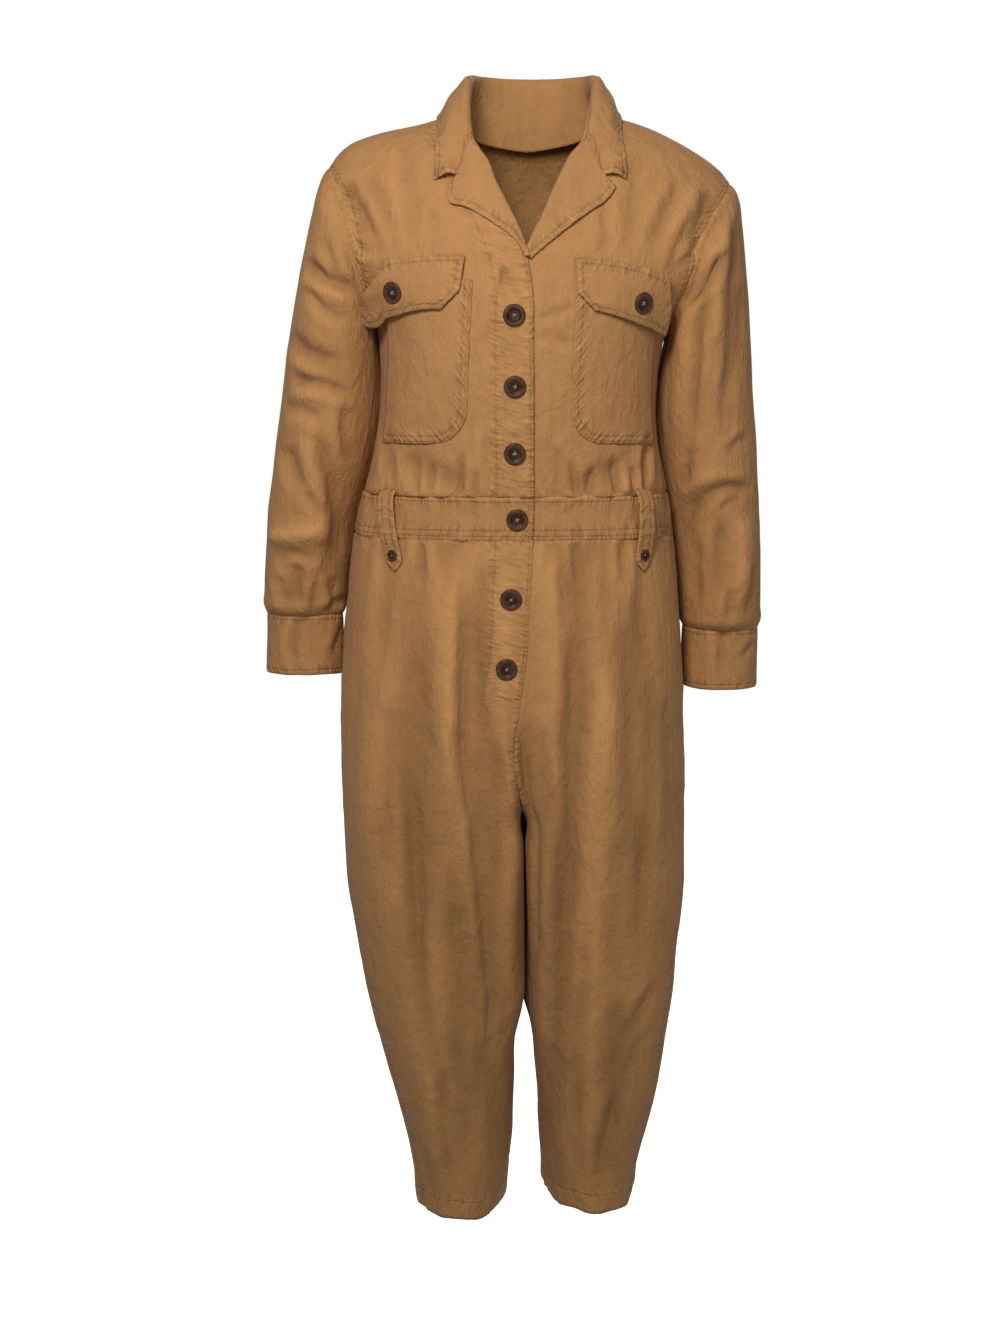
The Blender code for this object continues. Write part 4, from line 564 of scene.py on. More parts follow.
def makeCloth(name, points, edges=None, seed=0, trim=False, axis=None, closed=False, tucks=(), height=0.0,
              thickness=cloth["thickness"], stands=None, stitchGaps=None, seams=None, shade=0.0):
    # puts the height of folds and seams on the grid, tucks its covered edges, gives it its thickness
    edges = edges or {}
    stands = [name.replace("Cloth", "")] if stands is None else stands
    axis = bodyAxis(points) if axis is None else axis
    facing = 1 if np.sum(gridNormals(points, closed) * (points - axis)) > 0 else -1
    total = height + np.zeros(points.shape[:2])
    for number, (edge, kind) in enumerate(edges.items()):
        total = total + sewnHeight(*edgeRun(points, edge, closed), kind, seed * 5 + number)
    # painted shade and light: the relief height from folds, seams and puckers darkens the colour in troughs and
    # lightens it on ridges
    paintedShade = np.clip((total + shade) / cloth["shadedHeight"], -1.0, 1.0)
    marks = {"fold": paintedShade, **(seams or seamMarks(points, edges, closed))}
    points = standing(points + facing * gridNormals(points, closed) * total[..., None])
    normals = facing * gridNormals(points, closed)
    for edge, kind in edges.items():
        for line in sewing[kind].get("lines", ()):
            path, up = lineAt(points, normals, edge, line, closed and edge in ("top", "bottom"))
            start, end = (stitchGaps or {}).get(edge, (0.0, 1.0))
            cut = slice(int(len(path) * start), max(int(len(path) * end), 2))
            allStitches.append((path[cut], up[cut]))
    for edge in tucks:
        points = tuck(points, normals, edge)
        normals = facing * gridNormals(points, closed)
        for mark, values in marks.items():   # a tuck adds three rows, marked as the edge is
            values = edgeFirst(values, edge)
            marks[mark] = edgeBack(np.concatenate([values[:1]] * 3 + [values]), edge)
    mesh = gridMesh(name, points, facing, trimFinish if trim else twillFinish, closed, marks)
    piece = addPiece(name, mesh, stands)
    wall = piece.modifiers.new("Wall", "SOLIDIFY")
    wall.thickness, wall.offset, wall.use_even_offset = thickness, -1.0, False
    madePieces[name] = (piece, points)


# materials
def fill(sockets, values):  # each socket linked to the output of a node, or set to a plain value
    for key, value in values.items():
        if isinstance(value, bpy.types.NodeSocket):
            sockets[key].id_data.links.new(value, sockets[key])
        else:
            sockets[key].default_value = value


def addNode(tree, kind, inputs=None, **settings):  # its outputs
    node = tree.nodes.new("ShaderNode" + kind)
    for key, value in settings.items():
        setattr(node, key, value)
    fill(node.inputs, inputs or {})
    return node.outputs


def worked(operation, *values, clamp=False):  # numbers and outputs of nodes worked together one after another
    tree = next(value.id_data for value in values if isinstance(value, bpy.types.NodeSocket))
    result = values[0]
    for other in values[1:] or (0.0,):
        result = addNode(tree, "Math", {0: result, 1: other}, operation=operation, use_clamp=clamp)[0]
    return result


def plus(*values):
    return worked("ADD", *values)


def times(*values):
    return worked("MULTIPLY", *values)


def noise(tree, place=None, stretch=None, **look):
    place = place or addNode(tree, "TexCoord")["Object"]
    if stretch:
        place = addNode(tree, "VectorMath", {0: place, 1: stretch}, operation="MULTIPLY")[0]
    return addNode(tree, "TexNoise", {"Vector": place, **look})["Fac"]


def newGroup(name, inputs, outputs):
    tree = bpy.data.node_groups.new(name, "ShaderNodeTree")
    for direction, sockets in (("INPUT", inputs), ("OUTPUT", outputs)):
        for socket, kind in sockets.items():
            tree.interface.new_socket(name=socket, in_out=direction, socket_type="NodeSocket" + kind)
    return tree, tree.nodes.new("NodeGroupInput").outputs, tree.nodes.new("NodeGroupOutput").inputs


def newMaterial(name):
    material = bpy.data.materials.new(name)
    material.use_nodes = True
    return material, material.node_tree, material.node_tree.nodes["Principled BSDF"].inputs


def shaded(tree, share, *stops):  # colour between two stops
    node = tree.nodes.new("ShaderNodeValToRGB")
    for element, (position, colour) in zip(node.color_ramp.elements, stops):
        element.position, element.color = position, (*colour, 1.0)
    fill(node.inputs, {"Fac": share})
    return node.outputs["Color"]


weaveLook = {"ridge": 0.0008, "slant": 0.55, "high": 0.25, "slub": (1500.0, 160.0, 1.0), "weft": (220.0, 1300.0, 1.0)}
washLook = {"Cloud": (None, 9.0, 4.0), "Speck": ((1.0, 1.0, 0.6), 330.0, 4.0),
            "Streak": ((1.0, 1.0, 0.12), 62.0, 3.0), "Crumple": ((1.0, 1.0, 0.7), 64.0, 4.0)}
seamLook = {"along": 240.0, "slant": 60.0, "across": 60.0, "depth": 0.0036, "grooveWidth": 0.001, "groove": 0.00055,
            "band": (0.003, 0.011), "near": 0.0045, "grooveShade": -0.14, "edgeTone": 0.14, "edgeWidth": 0.0016}


def buildTwill():  # diagonal ridges across a slightly uneven yarn, from the cloth's own map
    tree, start, end = newGroup("twillWeave", {"Map": "Vector"}, {"Height": "Float", "Tone": "Float"})
    u, v, _ = addNode(tree, "SeparateXYZ", {0: start["Map"]})
    yarns = plus(*(noise(tree, start["Map"], weaveLook[way], Scale=1.0, Detail=2.0, Roughness=0.6)
                   for way in ("slub", "weft")))
    turns = times(plus(u, times(v, weaveLook["slant"])), 2 * math.pi / weaveLook["ridge"])
    fill(end, {"Height": plus(times(worked("SINE", turns), weaveLook["high"]), yarns), "Tone": plus(yarns, -1.0)})
    return tree


def buildWash():  # cloudy fading of washed cloth, long streaks down it, and fine crumples that it keeps
    tree, start, end = newGroup("washedTone", {"Place": "Vector"}, {name: "Float" for name in washLook})
    for name, (stretch, scale, detail) in washLook.items():
        look = {"Scale": scale, "Detail": detail, "Roughness": 0.62, "Distortion": 0.4}
        fill(end, {name: plus(noise(tree, start["Place"], stretch, **look), -0.5)})
    return tree


def buildSeams():  # grooves of the stitch lines beside a sewn edge, and the puckers that they draw up, with painted shade in the grooves
    tree, start, end = newGroup("seamWork", {"Seam": "Vector", "Along": "Float"}, {"Height": "Float", "Tone": "Float"})
    look = seamLook
    away, first, second = addNode(tree, "SeparateXYZ", {0: start["Seam"]})

    def bell(line, width):  # 1 on a line, falling off to both sides
        off = worked("SUBTRACT", away, line)
        return worked("EXPONENT", times(off, off, -1 / look[width] ** 2))

    grooves = plus(bell(first, "grooveWidth"), bell(second, "grooveWidth"))
    near = worked("ADD", bell(first, "near"), bell(second, "near"), bell(0.0, "near"), clamp=True)
    past = worked("SUBTRACT", away, worked("MAXIMUM", first, second, 0.0))
    spans = dict(enumerate((past, *look["band"], 1.0, 0.0)))
    window = addNode(tree, "MapRange", spans, interpolation_type="SMOOTHSTEP")[0]
    run = plus(times(start["Along"], look["along"]), times(away, look["slant"]))
    place = addNode(tree, "CombineXYZ", {0: run, 1: times(away, look["across"])})[0]
    ripple = plus(noise(tree, place, Scale=1.0, Detail=2.0, Roughness=0.5), -0.5)
    pucker = times(ripple, window, plus(0.6, times(near, 0.4)))
    edge = times(bell(0.0, "edgeWidth"), look["edgeTone"])
    # painted shade: grooves darker; puckers lighter on their ridges and darker in their hollows, partly wear and partly
    # painted shade; the edge lighter as wear
    fill(end, {"Height": plus(times(pucker, look["depth"]), times(grooves, -look["groove"])),
               "Tone": plus(pucker, times(grooves, look["grooveShade"]), edge)})
    return tree


groups = {"weave": buildTwill(), "wash": buildWash(), "seams": buildSeams()}
# the relief weight paints shade into troughs and light onto ridges; the seam weight scales the seams' tone, partly wear
# and partly painted shade
clothFinish = {
    "twill": {"colour": (0.4, 0.196, 0.07), "Cloud": 0.22, "Speck": 0.24, "Streak": 0.16, "Crumple": 0.2,
              "yarn": 0.17, "seam": 0.9, "fold": 0.24, "raised": {"Streak": 0.0024, "Crumple": 0.0036}},
    "trim": {"colour": (0.392, 0.192, 0.07), "Cloud": 0.22, "Speck": 0.24, "Streak": 0.12, "Crumple": 0.22,
             "yarn": 0.17, "seam": 1.0, "fold": 0.2, "raised": {"Streak": 0.0016, "Crumple": 0.0036}},
}
surface = {"roughness": 0.9, "specular": 0.12, "sheen": 0.04, "weave": 0.3, "weaveDepth": 0.0003}


def clothMaterial(name):
    look = clothFinish[name]
    material, tree, shader = newMaterial(name + "Cloth")
    place = addNode(tree, "TexCoord")
    weave = addNode(tree, "Group", {"Map": place["UV"]}, node_tree=groups["weave"])
    wash = addNode(tree, "Group", {"Place": place["Object"]}, node_tree=groups["wash"])
    fold = addNode(tree, "Attribute", attribute_name="fold")["Fac"]
    tones = [times(wash[mark], look[mark]) for mark in washLook]
    # painted shade and light of the relief, beside the wash and yarn tones
    tones += [times(weave["Tone"], look["yarn"]), times(fold, look["fold"])]
    heights = [times(wash[mark], height) for mark, height in look["raised"].items()]
    for mark in ("seamAcross", "seamDown"):
        kept = addNode(tree, "Attribute", attribute_name=mark)
        sewn = addNode(tree, "Group", {"Seam": kept["Vector"], "Along": kept["Alpha"]}, node_tree=groups["seams"])
        tones.append(times(sewn["Tone"], look["seam"]))
        heights.append(sewn["Height"])
    colours = {0: plus(1.0, *tones), 6: (0.0, 0.0, 0.0, 1.0), 7: (*look["colour"], 1.0)}
    puckers = addNode(tree, "Bump", {"Strength": 1.0, "Distance": 1.0, "Height": plus(*heights)})["Normal"]
    ridges = {"Strength": surface["weave"], "Distance": surface["weaveDepth"], "Height": weave["Height"],
              "Normal": puckers}
    fill(shader, {"Base Color": addNode(tree, "Mix", colours, data_type="RGBA", clamp_factor=False)[2],
                  "Normal": addNode(tree, "Bump", ridges)["Normal"], "Roughness": surface["roughness"],
                  "Specular IOR Level": surface["specular"], "Sheen Weight": surface["sheen"]})
    return material


def threadMaterial():
    material, tree, shader = newMaterial("thread")
    fill(shader, {"Roughness": 0.7, "Base Color": shaded(
        tree, noise(tree, Scale=400.0, Detail=1.0), (0.0, (0.3, 0.155, 0.06)), (1.0, (0.56, 0.33, 0.15)))})
    return material


def hornMaterial():
    material, tree, shader = newMaterial("horn")
    flecks = noise(tree, Scale=130.0, Detail=3.0, Roughness=0.6, Distortion=1.2)
    # painted highlight: the raised rim is lighter in colour than the face
    share = plus(times(addNode(tree, "Attribute", attribute_name="rimHighlight")["Fac"], 0.3), flecks, -0.12)
    fill(shader, {"Roughness": plus(0.28, times(flecks, 0.22)), "Specular IOR Level": 0.14, "Base Color": shaded(
        tree, share, (0.35, (0.013, 0.005, 0.003)), (0.75, (0.085, 0.032, 0.016)))})
    return material


twillFinish, trimFinish = clothMaterial("twill"), clothMaterial("trim")
threadFinish, hornFinish = threadMaterial(), hornMaterial()
print("materials ready")


# bodice
bodice = {
    "top": 0.009, "shoulderRows": 44, "armholeRows": 92, "sideRows": 76, "frontColumns": 92, "backColumns": 132,
    "liftAcross": (0.055, 0.032), "liftDown": (-0.095, -0.128),
    "neckDrop": 0.0225, "neckSpread": 0.8, "dropSpan": (-0.2, 0.009), "spreadSpan": (-0.06, 0.009),
}


def bodiceRows():  # heights: even to the shoulder tip, by even angles of the armhole, even to the waist
    turn = np.linspace(0.0, math.pi, bodice["armholeRows"])
    return np.concatenate([
        np.linspace(bodice["top"], form["shoulderTip"][1], bodice["shoulderRows"])[:-1],
        armholeMiddle + armholeHalf * np.cos(turn),
        np.linspace(form["underarm"][1], form["waist"][0] + cloth["seamGap"], bodice["sideRows"])[1:],
    ])


def frontInnerX(sideName, z):  # roll line, then the front's own free edge
    edge = read(frontEdge, z)
    if sideName == "right":
        return np.where(z > form["breakZ"], read(rollRight, z), edge)
    roll = read(rollLeft, z)
    return np.where(z > rollLeft["z"].min(), roll, edge - form["wrap"])


def overlapLift(x, z):  # the lift times a ramp across and a ramp down
    return form["frontLift"] * ramp(-x, *bodice["liftAcross"]) * ramp(z, *bodice["liftDown"])


def bodiceFront(sideName, z, share, *creases):  # front at heights and shares of its width
    sign = sides[sideName]
    inner = angleAt(sign * frontInnerX(sideName, z) / bodyAt(z, "side"))
    outer = outerAngle(z, "front")
    points, normals = bodyGrid(sign, z, inner + (outer - inner) * share, "front")
    height = mainHeight(points, normals, bodyFolds, *creases)
    if sideName == "right":
        height = height + overlapLift(points[..., 0], points[..., 2])
    return points + normals * height[..., None] - stacked(0.0, cloth["seamGap"] / 2 * (share > 0.999), 0.0)


def bodiceBack(row, share, *creases):  # back from one outer edge to the other
    away = np.abs(share)
    drop = bodice["neckDrop"] * ramp(row, *bodice["dropSpan"])
    spread = 1.0 + bodice["neckSpread"] * ramp(row, *bodice["spreadSpan"])
    z = row - drop * (1 - away**2) ** 2
    points, normals = bodyGrid(np.sign(share), z, outerAngle(row, "back") * away**spread, "back")
    points = points + normals * mainHeight(points, normals, bodyFolds, *creases)[..., None]
    return points + stacked(0.0, cloth["seamGap"] / 2 * (away > 0.999), 0.0)


def makeBodice():
    # two fronts and a back, as grids of the body's sections
    rows = bodiceRows()
    for number, sideName in enumerate(sides):
        points = bodiceFront(sideName, *gridOf(rows, 0.0, 1.0, bodice["frontColumns"]), bodyCreases)
        edges = {"outer": "armhole", "bottom": "waist", "inner": "placket" if sideName == "right" else "plain"}
        makeCloth(f"frontCloth_{sideName}", points, edges, number + 1, stitchGaps={"inner": (0.36, 1.0)},
                  shade=bodyShade(points))
    points = bodiceBack(*gridOf(rows, -1.0, 1.0, bodice["backColumns"]), bodyCreases)
    makeCloth("backCloth", points, {"outer": "hidden", "inner": "hidden", "bottom": "waist", "top": "hidden"}, 4,
              tucks=("inner", "outer"), shade=bodyShade(points))


makeBodice()
print("bodice made")


# sleeves and cuffs
sleeve = {
    "rows": table(
        "outerX outerZ innerX innerZ halfDepth middleY innerY",
        (225.5, -73, 158.8, -224, 75, 0, 0), (231, -98, 157.5, -233, 75.5, 1, 4),
        (237, -129, 155.5, -245, 75.5, 2, 10), (243, -165, 153, -261, 75, 4, 18),
        (249, -206, 151, -282, 74, 6, 26), (255, -250, 149.5, -307, 72.5, 8, 32),
        (261, -297, 152.5, -338, 70, 10, 38), (267, -345, 162, -374, 67.5, 11, 40),
        (272, -392, 172.5, -412, 64.5, 12, 38), (276, -436, 180.5, -450, 60.5, 12, 33),
        (278.5, -476, 185.5, -487, 56, 12, 26), (279.5, -512, 188.5, -518, 50, 12, 18),
        (279, -529, 192.5, -531, 43, 12, 14), (277.5, -536.6, 195, -536.6, 36, 12, 12),
    ),
    "around": 66, "spacing": 0.0034, "capReach": 0.007, "underarmReach": 0.0025, "gap": 0.0008,
    "underarmOff": (1.0, 0.0, -0.6), "underarmSpan": (-0.165, -0.2),
    "bloom": 0.003, "bloomAt": (0.012, 0.009), "bloomSteps": (0.021, 0.011), "plainTop": (0.004, 0.016),
    "plainEnd": (0.0, 0.01),
}
cuff = {"top": -0.5374, "bottom": -0.604, "half": (0.0412, 0.035), "middle": (0.2362, 0.012), "flare": 0.01,
        "columns": 96, "rows": 34}
cuffCreases = strokes([
    (-258, -534, -259, -596, 5.5, -3, 1), (-207, -535, -221, -580, 5, -2.4, -2), (216, -545, 218, -610, 5.5, -3, 1),
    (254, -561, 240, -578, 5, -2, 0),
], [
    (-244, -540, -240, -600, 7, -2.6, 1), (226, -545, 224, -605, 7, -2.6, 1),
])


def armholeRings(sideName, rows):
    # the armhole edges of front and back moved off them by the gap, then the shoulder's slope carried on
    sign = sides[sideName]
    full = np.ones(len(rows))
    edge = np.concatenate([bodiceFront(sideName, rows, full), bodiceBack(rows, sign * full)[1:-1][::-1]])
    edge[[0, len(rows) - 1], 1] = 0.0
    alongEdge = np.roll(edge, -1, axis=0) - np.roll(edge, 1, axis=0)
    outward = unit(np.cross(unit(bodySlope(edge)), alongEdge))
    outward *= np.sign(outward[:, :1]) * sign
    low = ramp(edge[:, 2], *sleeve["underarmSpan"])[:, None]
    off = unit(outward * (1 - low) + np.array(sleeve["underarmOff"]) * np.array([sign, 1.0, 1.0]) * low)
    reach = sleeve["capReach"] + (sleeve["underarmReach"] - sleeve["capReach"]) * low
    return edge + off * sleeve["gap"], edge + off * reach


def sleeveGrid(sideName):
    # the armhole's two rings, then ovals between each row's outer and inner point, evenly spaced along
    turn = np.linspace(0.0, math.pi, sleeve["around"])
    first, second = armholeRings(sideName, armholeMiddle + armholeHalf * np.cos(turn))
    angle = np.concatenate([turn, 2 * math.pi - turn[1:-1][::-1]])[None, :]
    value = {name: column[:, None] for name, column in sleeve["rows"].items()}
    halfX, halfZ = (value["outerX"] - value["innerX"]) / 2, (value["outerZ"] - value["innerZ"]) / 2
    x = (value["outerX"] + value["innerX"]) / 2 + halfX * np.cos(angle)
    z = (value["outerZ"] + value["innerZ"]) / 2 + halfZ * np.cos(angle)
    y = value["middleY"] - value["halfDepth"] * np.sin(angle)
    y = y + (value["innerY"] - value["middleY"]) * np.maximum(-np.cos(angle), 0.0) ** 2
    rings = np.concatenate([first[None], second[None], stacked(sides[sideName] * x, y, z)])
    places = lengths(rings)
    return curveThrough(np.linspace(0.0, places[-1], int(places[-1] / sleeve["spacing"])), places, rings), places[-1]


def makeSleeve(sideName, seed):
    # folds faded at both ends, plus an uneven, bell-shaped swelling above the cuff
    points, length = sleeveGrid(sideName)
    middle = points.mean(axis=1, keepdims=True)
    normals = outwardNormals(points, middle, closed=True)
    height = mainHeight(points, normals, sleeveFolds, sleeveCreases)
    down = np.linspace(0.0, length, len(points))[:, None]
    height = height * ramp(down, *sleeve["plainTop"]) * ramp(length - down, *sleeve["plainEnd"])
    _, across = edgeRun(points, "top", True)
    wide, narrow = sleeve["bloomSteps"]
    fullness = 0.5 + 0.35 * (waver(across / wide, seed) + 0.5 * waver(across / narrow, seed + 4))
    place, reach = sleeve["bloomAt"]   # the sleeve swells above its cuff
    height = height + sleeve["bloom"] * fullness * np.exp(-(((length - down - place) / reach) ** 2))
    makeCloth(f"sleeveCloth_{sideName}", points, {"top": "head"}, seed, axis=middle, closed=True, height=height,
              tucks=("top", "bottom"))


def makeCuff(sideName, seed):
    # an oval whose size grows evenly from the top to the lower edge
    turn = circle(cuff["columns"])
    z = np.linspace(cuff["top"], cuff["bottom"], cuff["rows"])[:, None]
    flare = 1.0 + cuff["flare"] * (cuff["top"] - z) / (cuff["top"] - cuff["bottom"])
    x = cuff["middle"][0] + cuff["half"][0] * flare * np.cos(turn)
    y = cuff["middle"][1] - cuff["half"][1] * flare * np.sin(turn)
    points = stacked(sides[sideName] * x, y, z)
    middle = points.mean(axis=1, keepdims=True)
    height = mainHeight(points, outwardNormals(points, middle, True), cuffCreases)
    makeCloth(f"cuffCloth_{sideName}", points, {"top": "cuff", "bottom": "cuff"}, seed, True, middle, True,
              height=height, thickness=cloth["doubled"])


for number, sideName in enumerate(sides):
    makeSleeve(sideName, 10 + number)
    makeCuff(sideName, 14 + number)
print("sleeves and cuffs made")


# trousers
leg = {
    "rows": table(
        "z outer middle front back",
        (-437, 176, 0, 117, 95), (-475, 181, 4, 124, 106), (-514, 185, 10, 129, 117), (-560, 189, 20, 132, 127),
        (-605, 191.5, 34, 133, 133), (-645, 193, 54, 132, 135), (-680, 194, 74, 130, 134),
        (-710, 194.5, 90, 127.5, 131), (-735, 194.5, 97.9, 125, 128), (-780, 194, 97.7, 119, 122),
        (-840, 192.5, 97, 112, 115), (-902, 185, 93.3, 104, 108), (-970, 177, 90, 97, 101),
        (-1030, 166, 88.8, 90, 94.5), (-1090, 155, 84.6, 83, 88), (-1140, 144.5, 80.4, 77, 82),
        (-1177, 137.5, 77.4, 73, 78), (-1210, 132.5, 76.8, 70, 75), (-1245, 129, 76.4, 68, 73),
    ),
    "seam": table("z angle", (-437, 90), (-620, 86), (-900, 66), (-1245, 54)),
    "fullness": table("z power", (-700, 10), (-780, 9), (-880, 5.5), (-960, 4), (-1050, 3.2)),   # inner half of a leg
    "hem": {"right": -1.231, "left": -1.2225}, "hemRise": (0.005, 0.003), "hemSpan": (-1.1, -1.237),
    "hemWave": (0.0036, 3, 0.0024, 8), "hemStart": {"right": 0.8, "left": 2.1}, "bottom": -1.237,
    "twist": 0.011, "twistReach": 0.05, "twistStart": (-0.66, -0.76), "twistEnd": (-1.06, -0.94),
    "sway": (0.04, 0.016), "swaySpan": (-0.98, -1.19),
    "rowSpacing": 0.0046, "columns": 78, "splitShare": 0.5, "splitReach": 0.5, "innerSpacing": 1.6,
    "flyTail": {"right": (-0.656, -0.606), "left": (-0.648, -0.606)}, "flyFade": (-0.64, -0.606),
    "flySettle": (-0.69, -0.65), "flyLines": (0.003, 0.0385), "flyCurve": (-0.572, -0.606),
    "pocketEdge_right": table("z x", (-439.5, 145), (-470, 156), (-554, 170)),
    "pocketEdge_left": table("z x", (-439.5, 140), (-470, 145), (-554, 153)),
    "pleat": table("z x", (-443, 56), (-608, 59), (-760, 53), (-945, 43)),   # fold beside the fly
    "pleatStep": 0.004, "pleatReach": 0.056, "pleatDepth": 0.0115, "pleatShade": 0.6,
    "pleatStart": (-0.435, -0.56), "pleatEnd": (-1.04, -0.94),
    "pocketRidge": (0.0022, 0.0011, 0.0004), "ridgeColumns": 7, "pocketStitch": 0.006, "thin": 0.0003,
    "joinSoft": 0.012, "joinHeight": (-0.7, -0.62), "joinReach": (0.06, 0.03),
    "seamRoom": (0.0005, 0.008), "flyRoom": (0.03, 0.044), "foldsStart": -0.447,
}


def legSection(z):  # outer edge, middle and depths of a leg at a height
    return {name: read(leg["rows"], z, name) for name in ("outer", "middle", "front", "back")}


def legInnerAngle(sideName, z, face):  # fly or centre seam above the crotch, then inseam
    section = legSection(z)
    seam = np.full(z.shape, cloth["seamGap"] / 2)
    if face == "front":
        edge = read(frontEdge, z)
        edge = -edge if sideName == "right" else edge - form["wrap"]
        seam = seam + (edge - seam) * ramp(z, *leg["flyTail"][sideName])
    share = np.clip((seam - section["middle"]) / (section["outer"] - section["middle"]), -1.0, 1.0)
    return np.maximum(angleAt(share), -math.pi / 2)


def legAngle(sideName, face, z, share):  # even steps of width to half way out, then of angle
    section = legSection(z)
    half = section["outer"] - section["middle"]
    gap = cloth["seamGap"] / 2 / half
    seam = np.radians(read(leg["seam"], z, "angle"))
    inner = legInnerAngle(sideName, z, face) + np.where(z <= form["crotch"], gap, 0.0)
    innerX, _ = sectionPoint(half, half, inner, section["middle"])
    splitX = section["outer"] * leg["splitReach"]
    near = np.clip(share / leg["splitShare"], 0.0, 1.0) ** leg["innerSpacing"]
    nearAngle = angleAt((innerX + (splitX - innerX) * near - section["middle"]) / half)
    splitAngle = angleAt((splitX - section["middle"]) / half)
    far = np.clip((share - leg["splitShare"]) / (1 - leg["splitShare"]), 0.0, 1.0)
    if face == "front":
        return np.where(share < leg["splitShare"], nearAngle, splitAngle + (seam - gap - splitAngle) * far)
    farAngle = math.pi - splitAngle + (seam + gap - math.pi + splitAngle) * far
    return np.where(share < leg["splitShare"], math.pi - nearAngle, farAngle)


def lobeDepth(x, section, z, face):  # fuller on the leg's inner side; the two lobes join above the crotch
    soft = leg["joinSoft"] * ramp(z, *leg["joinHeight"]) * ramp(x, *leg["joinReach"])
    share = (np.sqrt(x**2 + soft**2) - section["middle"]) / (section["outer"] - section["middle"])
    power = read(leg["fullness"], z, "power")
    return section[face] * np.where(share < 0, oval(-share, power), oval(share))


def hemShift(sideName, z, angle):  # waves of the hem and the leg's own length, fading out up the leg
    high, count, small, more = leg["hemWave"]
    sine = np.sin(angle)
    start = leg["hemStart"][sideName]
    wave = high * np.sin(count * angle + start) + small * np.sin(more * angle + 2 * start) * (1 + sine * sine) / 2
    rise = leg["hemRise"][0] * np.maximum(-sine, 0.0) ** 2 + leg["hemRise"][1] * np.maximum(sine, 0.0) ** 2
    return (leg["hem"][sideName] - leg["bottom"] + wave + rise) * ramp(z, *leg["hemSpan"])


def pleatSunk(x, z):  # how far the cloth between the pleat and the fly lies back
    edge, step = read(leg["pleat"], z), leg["pleatStep"]
    sunk = ramp(x, edge + step, edge - step) * (1 - ramp(x, edge - step, edge - leg["pleatReach"]))
    return leg["pleatDepth"] * sunk * ramp(z, *leg["pleatStart"]) * ramp(z, *leg["pleatEnd"])


def legPanel(sideName, face, z, share):
    # the leg's oval at each height, then its folds, the fly's lift, and its twist and sway between hip and hem
    sign = sides[sideName]
    section = legSection(z)
    half = section["outer"] - section["middle"]
    angle = legAngle(sideName, face, z, share)
    x, _ = sectionPoint(half, half, angle, section["middle"])
    y = np.where(np.cos(angle) > 0, -lobeDepth(x, section, z, "front"), lobeDepth(x, section, z, "back"))
    points = stacked(sign * x, y, z + hemShift(sideName, z, angle))
    centre = stacked(sign * section["middle"], 0.0, points[..., 2])
    normals = outwardNormals(points, centre)
    folds = mainHeight(points, normals, bodyFolds, bodyCreases)
    fly = ramp(z, *leg["flyFade"]) if face == "front" else 0.0
    room = ramp(x, *leg["seamRoom"]) * (1 - fly) + ramp(x, *leg["flyRoom"]) * fly
    folds = folds * ramp(z, form["waist"][1], leg["foldsStart"]) * room
    if sideName == "right" and face == "front":
        lift = ramp(-points[..., 0], *bodice["liftAcross"]) * ramp(points[..., 2], *leg["flySettle"])
        folds = folds + form["frontLift"] * lift - pleatSunk(x, z)
    points = points + normals * folds[..., None]
    least = np.where(z < leg["flyTail"]["right"][0], cloth["seamGap"] / 2, -1.0)   # the legs' inner edges keep apart
    points[..., 0] = sign * np.maximum(sign * points[..., 0], least)
    inner = ramp(sign * points[..., 0], section["middle"], 0.0)
    low = ramp(points[..., 2], *leg["twistStart"]) * ramp(points[..., 2], *leg["twistEnd"])
    points[..., 0] -= leg["twist"] * np.clip(points[..., 1] / leg["twistReach"], -1.0, 1.0) * inner * low
    aside = (sign * points[..., 0] - section["middle"]) / half
    reach = leg["sway"][0] * np.clip(-aside, 0.0, 1.0) ** 2 + leg["sway"][1] * np.clip(aside, 0.0, 1.0) ** 2
    points[..., 1] += reach * ramp(z, *leg["swaySpan"])
    return points, centre


def flySeams(points, edges):  # the fly's inner stitch line curves out to the edge where the fly ends
    marks = seamMarks(points, edges, False)
    high, low = leg["flyCurve"]
    t = np.clip((high - points[..., 2]) / (high - low), 0.0, 1.0)
    inner = np.where(t < 1, leg["flyLines"][1] * np.sqrt(1 - t**2), -1.0)
    across = marks["seamAcross"]
    onFly = edgeRun(points, "inner")[0] < edgeRun(points, "outer")[0]
    across[..., 1] = np.where(onFly, np.where(t < 1, leg["flyLines"][0], -1.0), across[..., 1])
    across[..., 2] = np.where(onFly, inner, across[..., 2])
    sewn = t[:, 0] < 1
    for distance in (np.where(sewn, leg["flyLines"][0], 0.0), np.where(sewn, inner[:, 0], 0.0)):
        path, up = lineAt(standing(points), outwardNormals(points, bodyAxis(points)), "inner", distance)
        allStitches.append((path[sewn] + up[sewn] * leg["thin"], up[sewn]))
    return marks


def makeSidePocket(sideName, points, normals):  # its folded edge and the stitching beside it
    edge = leg["pocketEdge_" + sideName]
    rows = (points[:, 0, 2] < edge["z"][0]) & (points[:, 0, 2] > edge["z"][-1])
    grid, up, x = points[rows], normals[rows], np.abs(points[rows][..., 0])
    middle = read(edge, grid[:, 0, 2])
    width, high, sunk = leg["pocketRidge"]

    def along(values, out):
        return np.array([sampled(m + out, row, v) for m, row, v in zip(middle, x, values)])

    ridge = np.stack([along(grid, -width / 2 * math.cos(a)) + along(up, 0.0) * (high * math.sin(a) - sunk)
                      for a in np.linspace(0.0, math.pi, leg["ridgeColumns"])], axis=1)
    makeCloth(f"pocketEdge_{sideName}", ridge, thickness=leg["thin"], stands=())
    allStitches.append((standing(along(grid, -leg["pocketStitch"])), along(up, 0.0)))


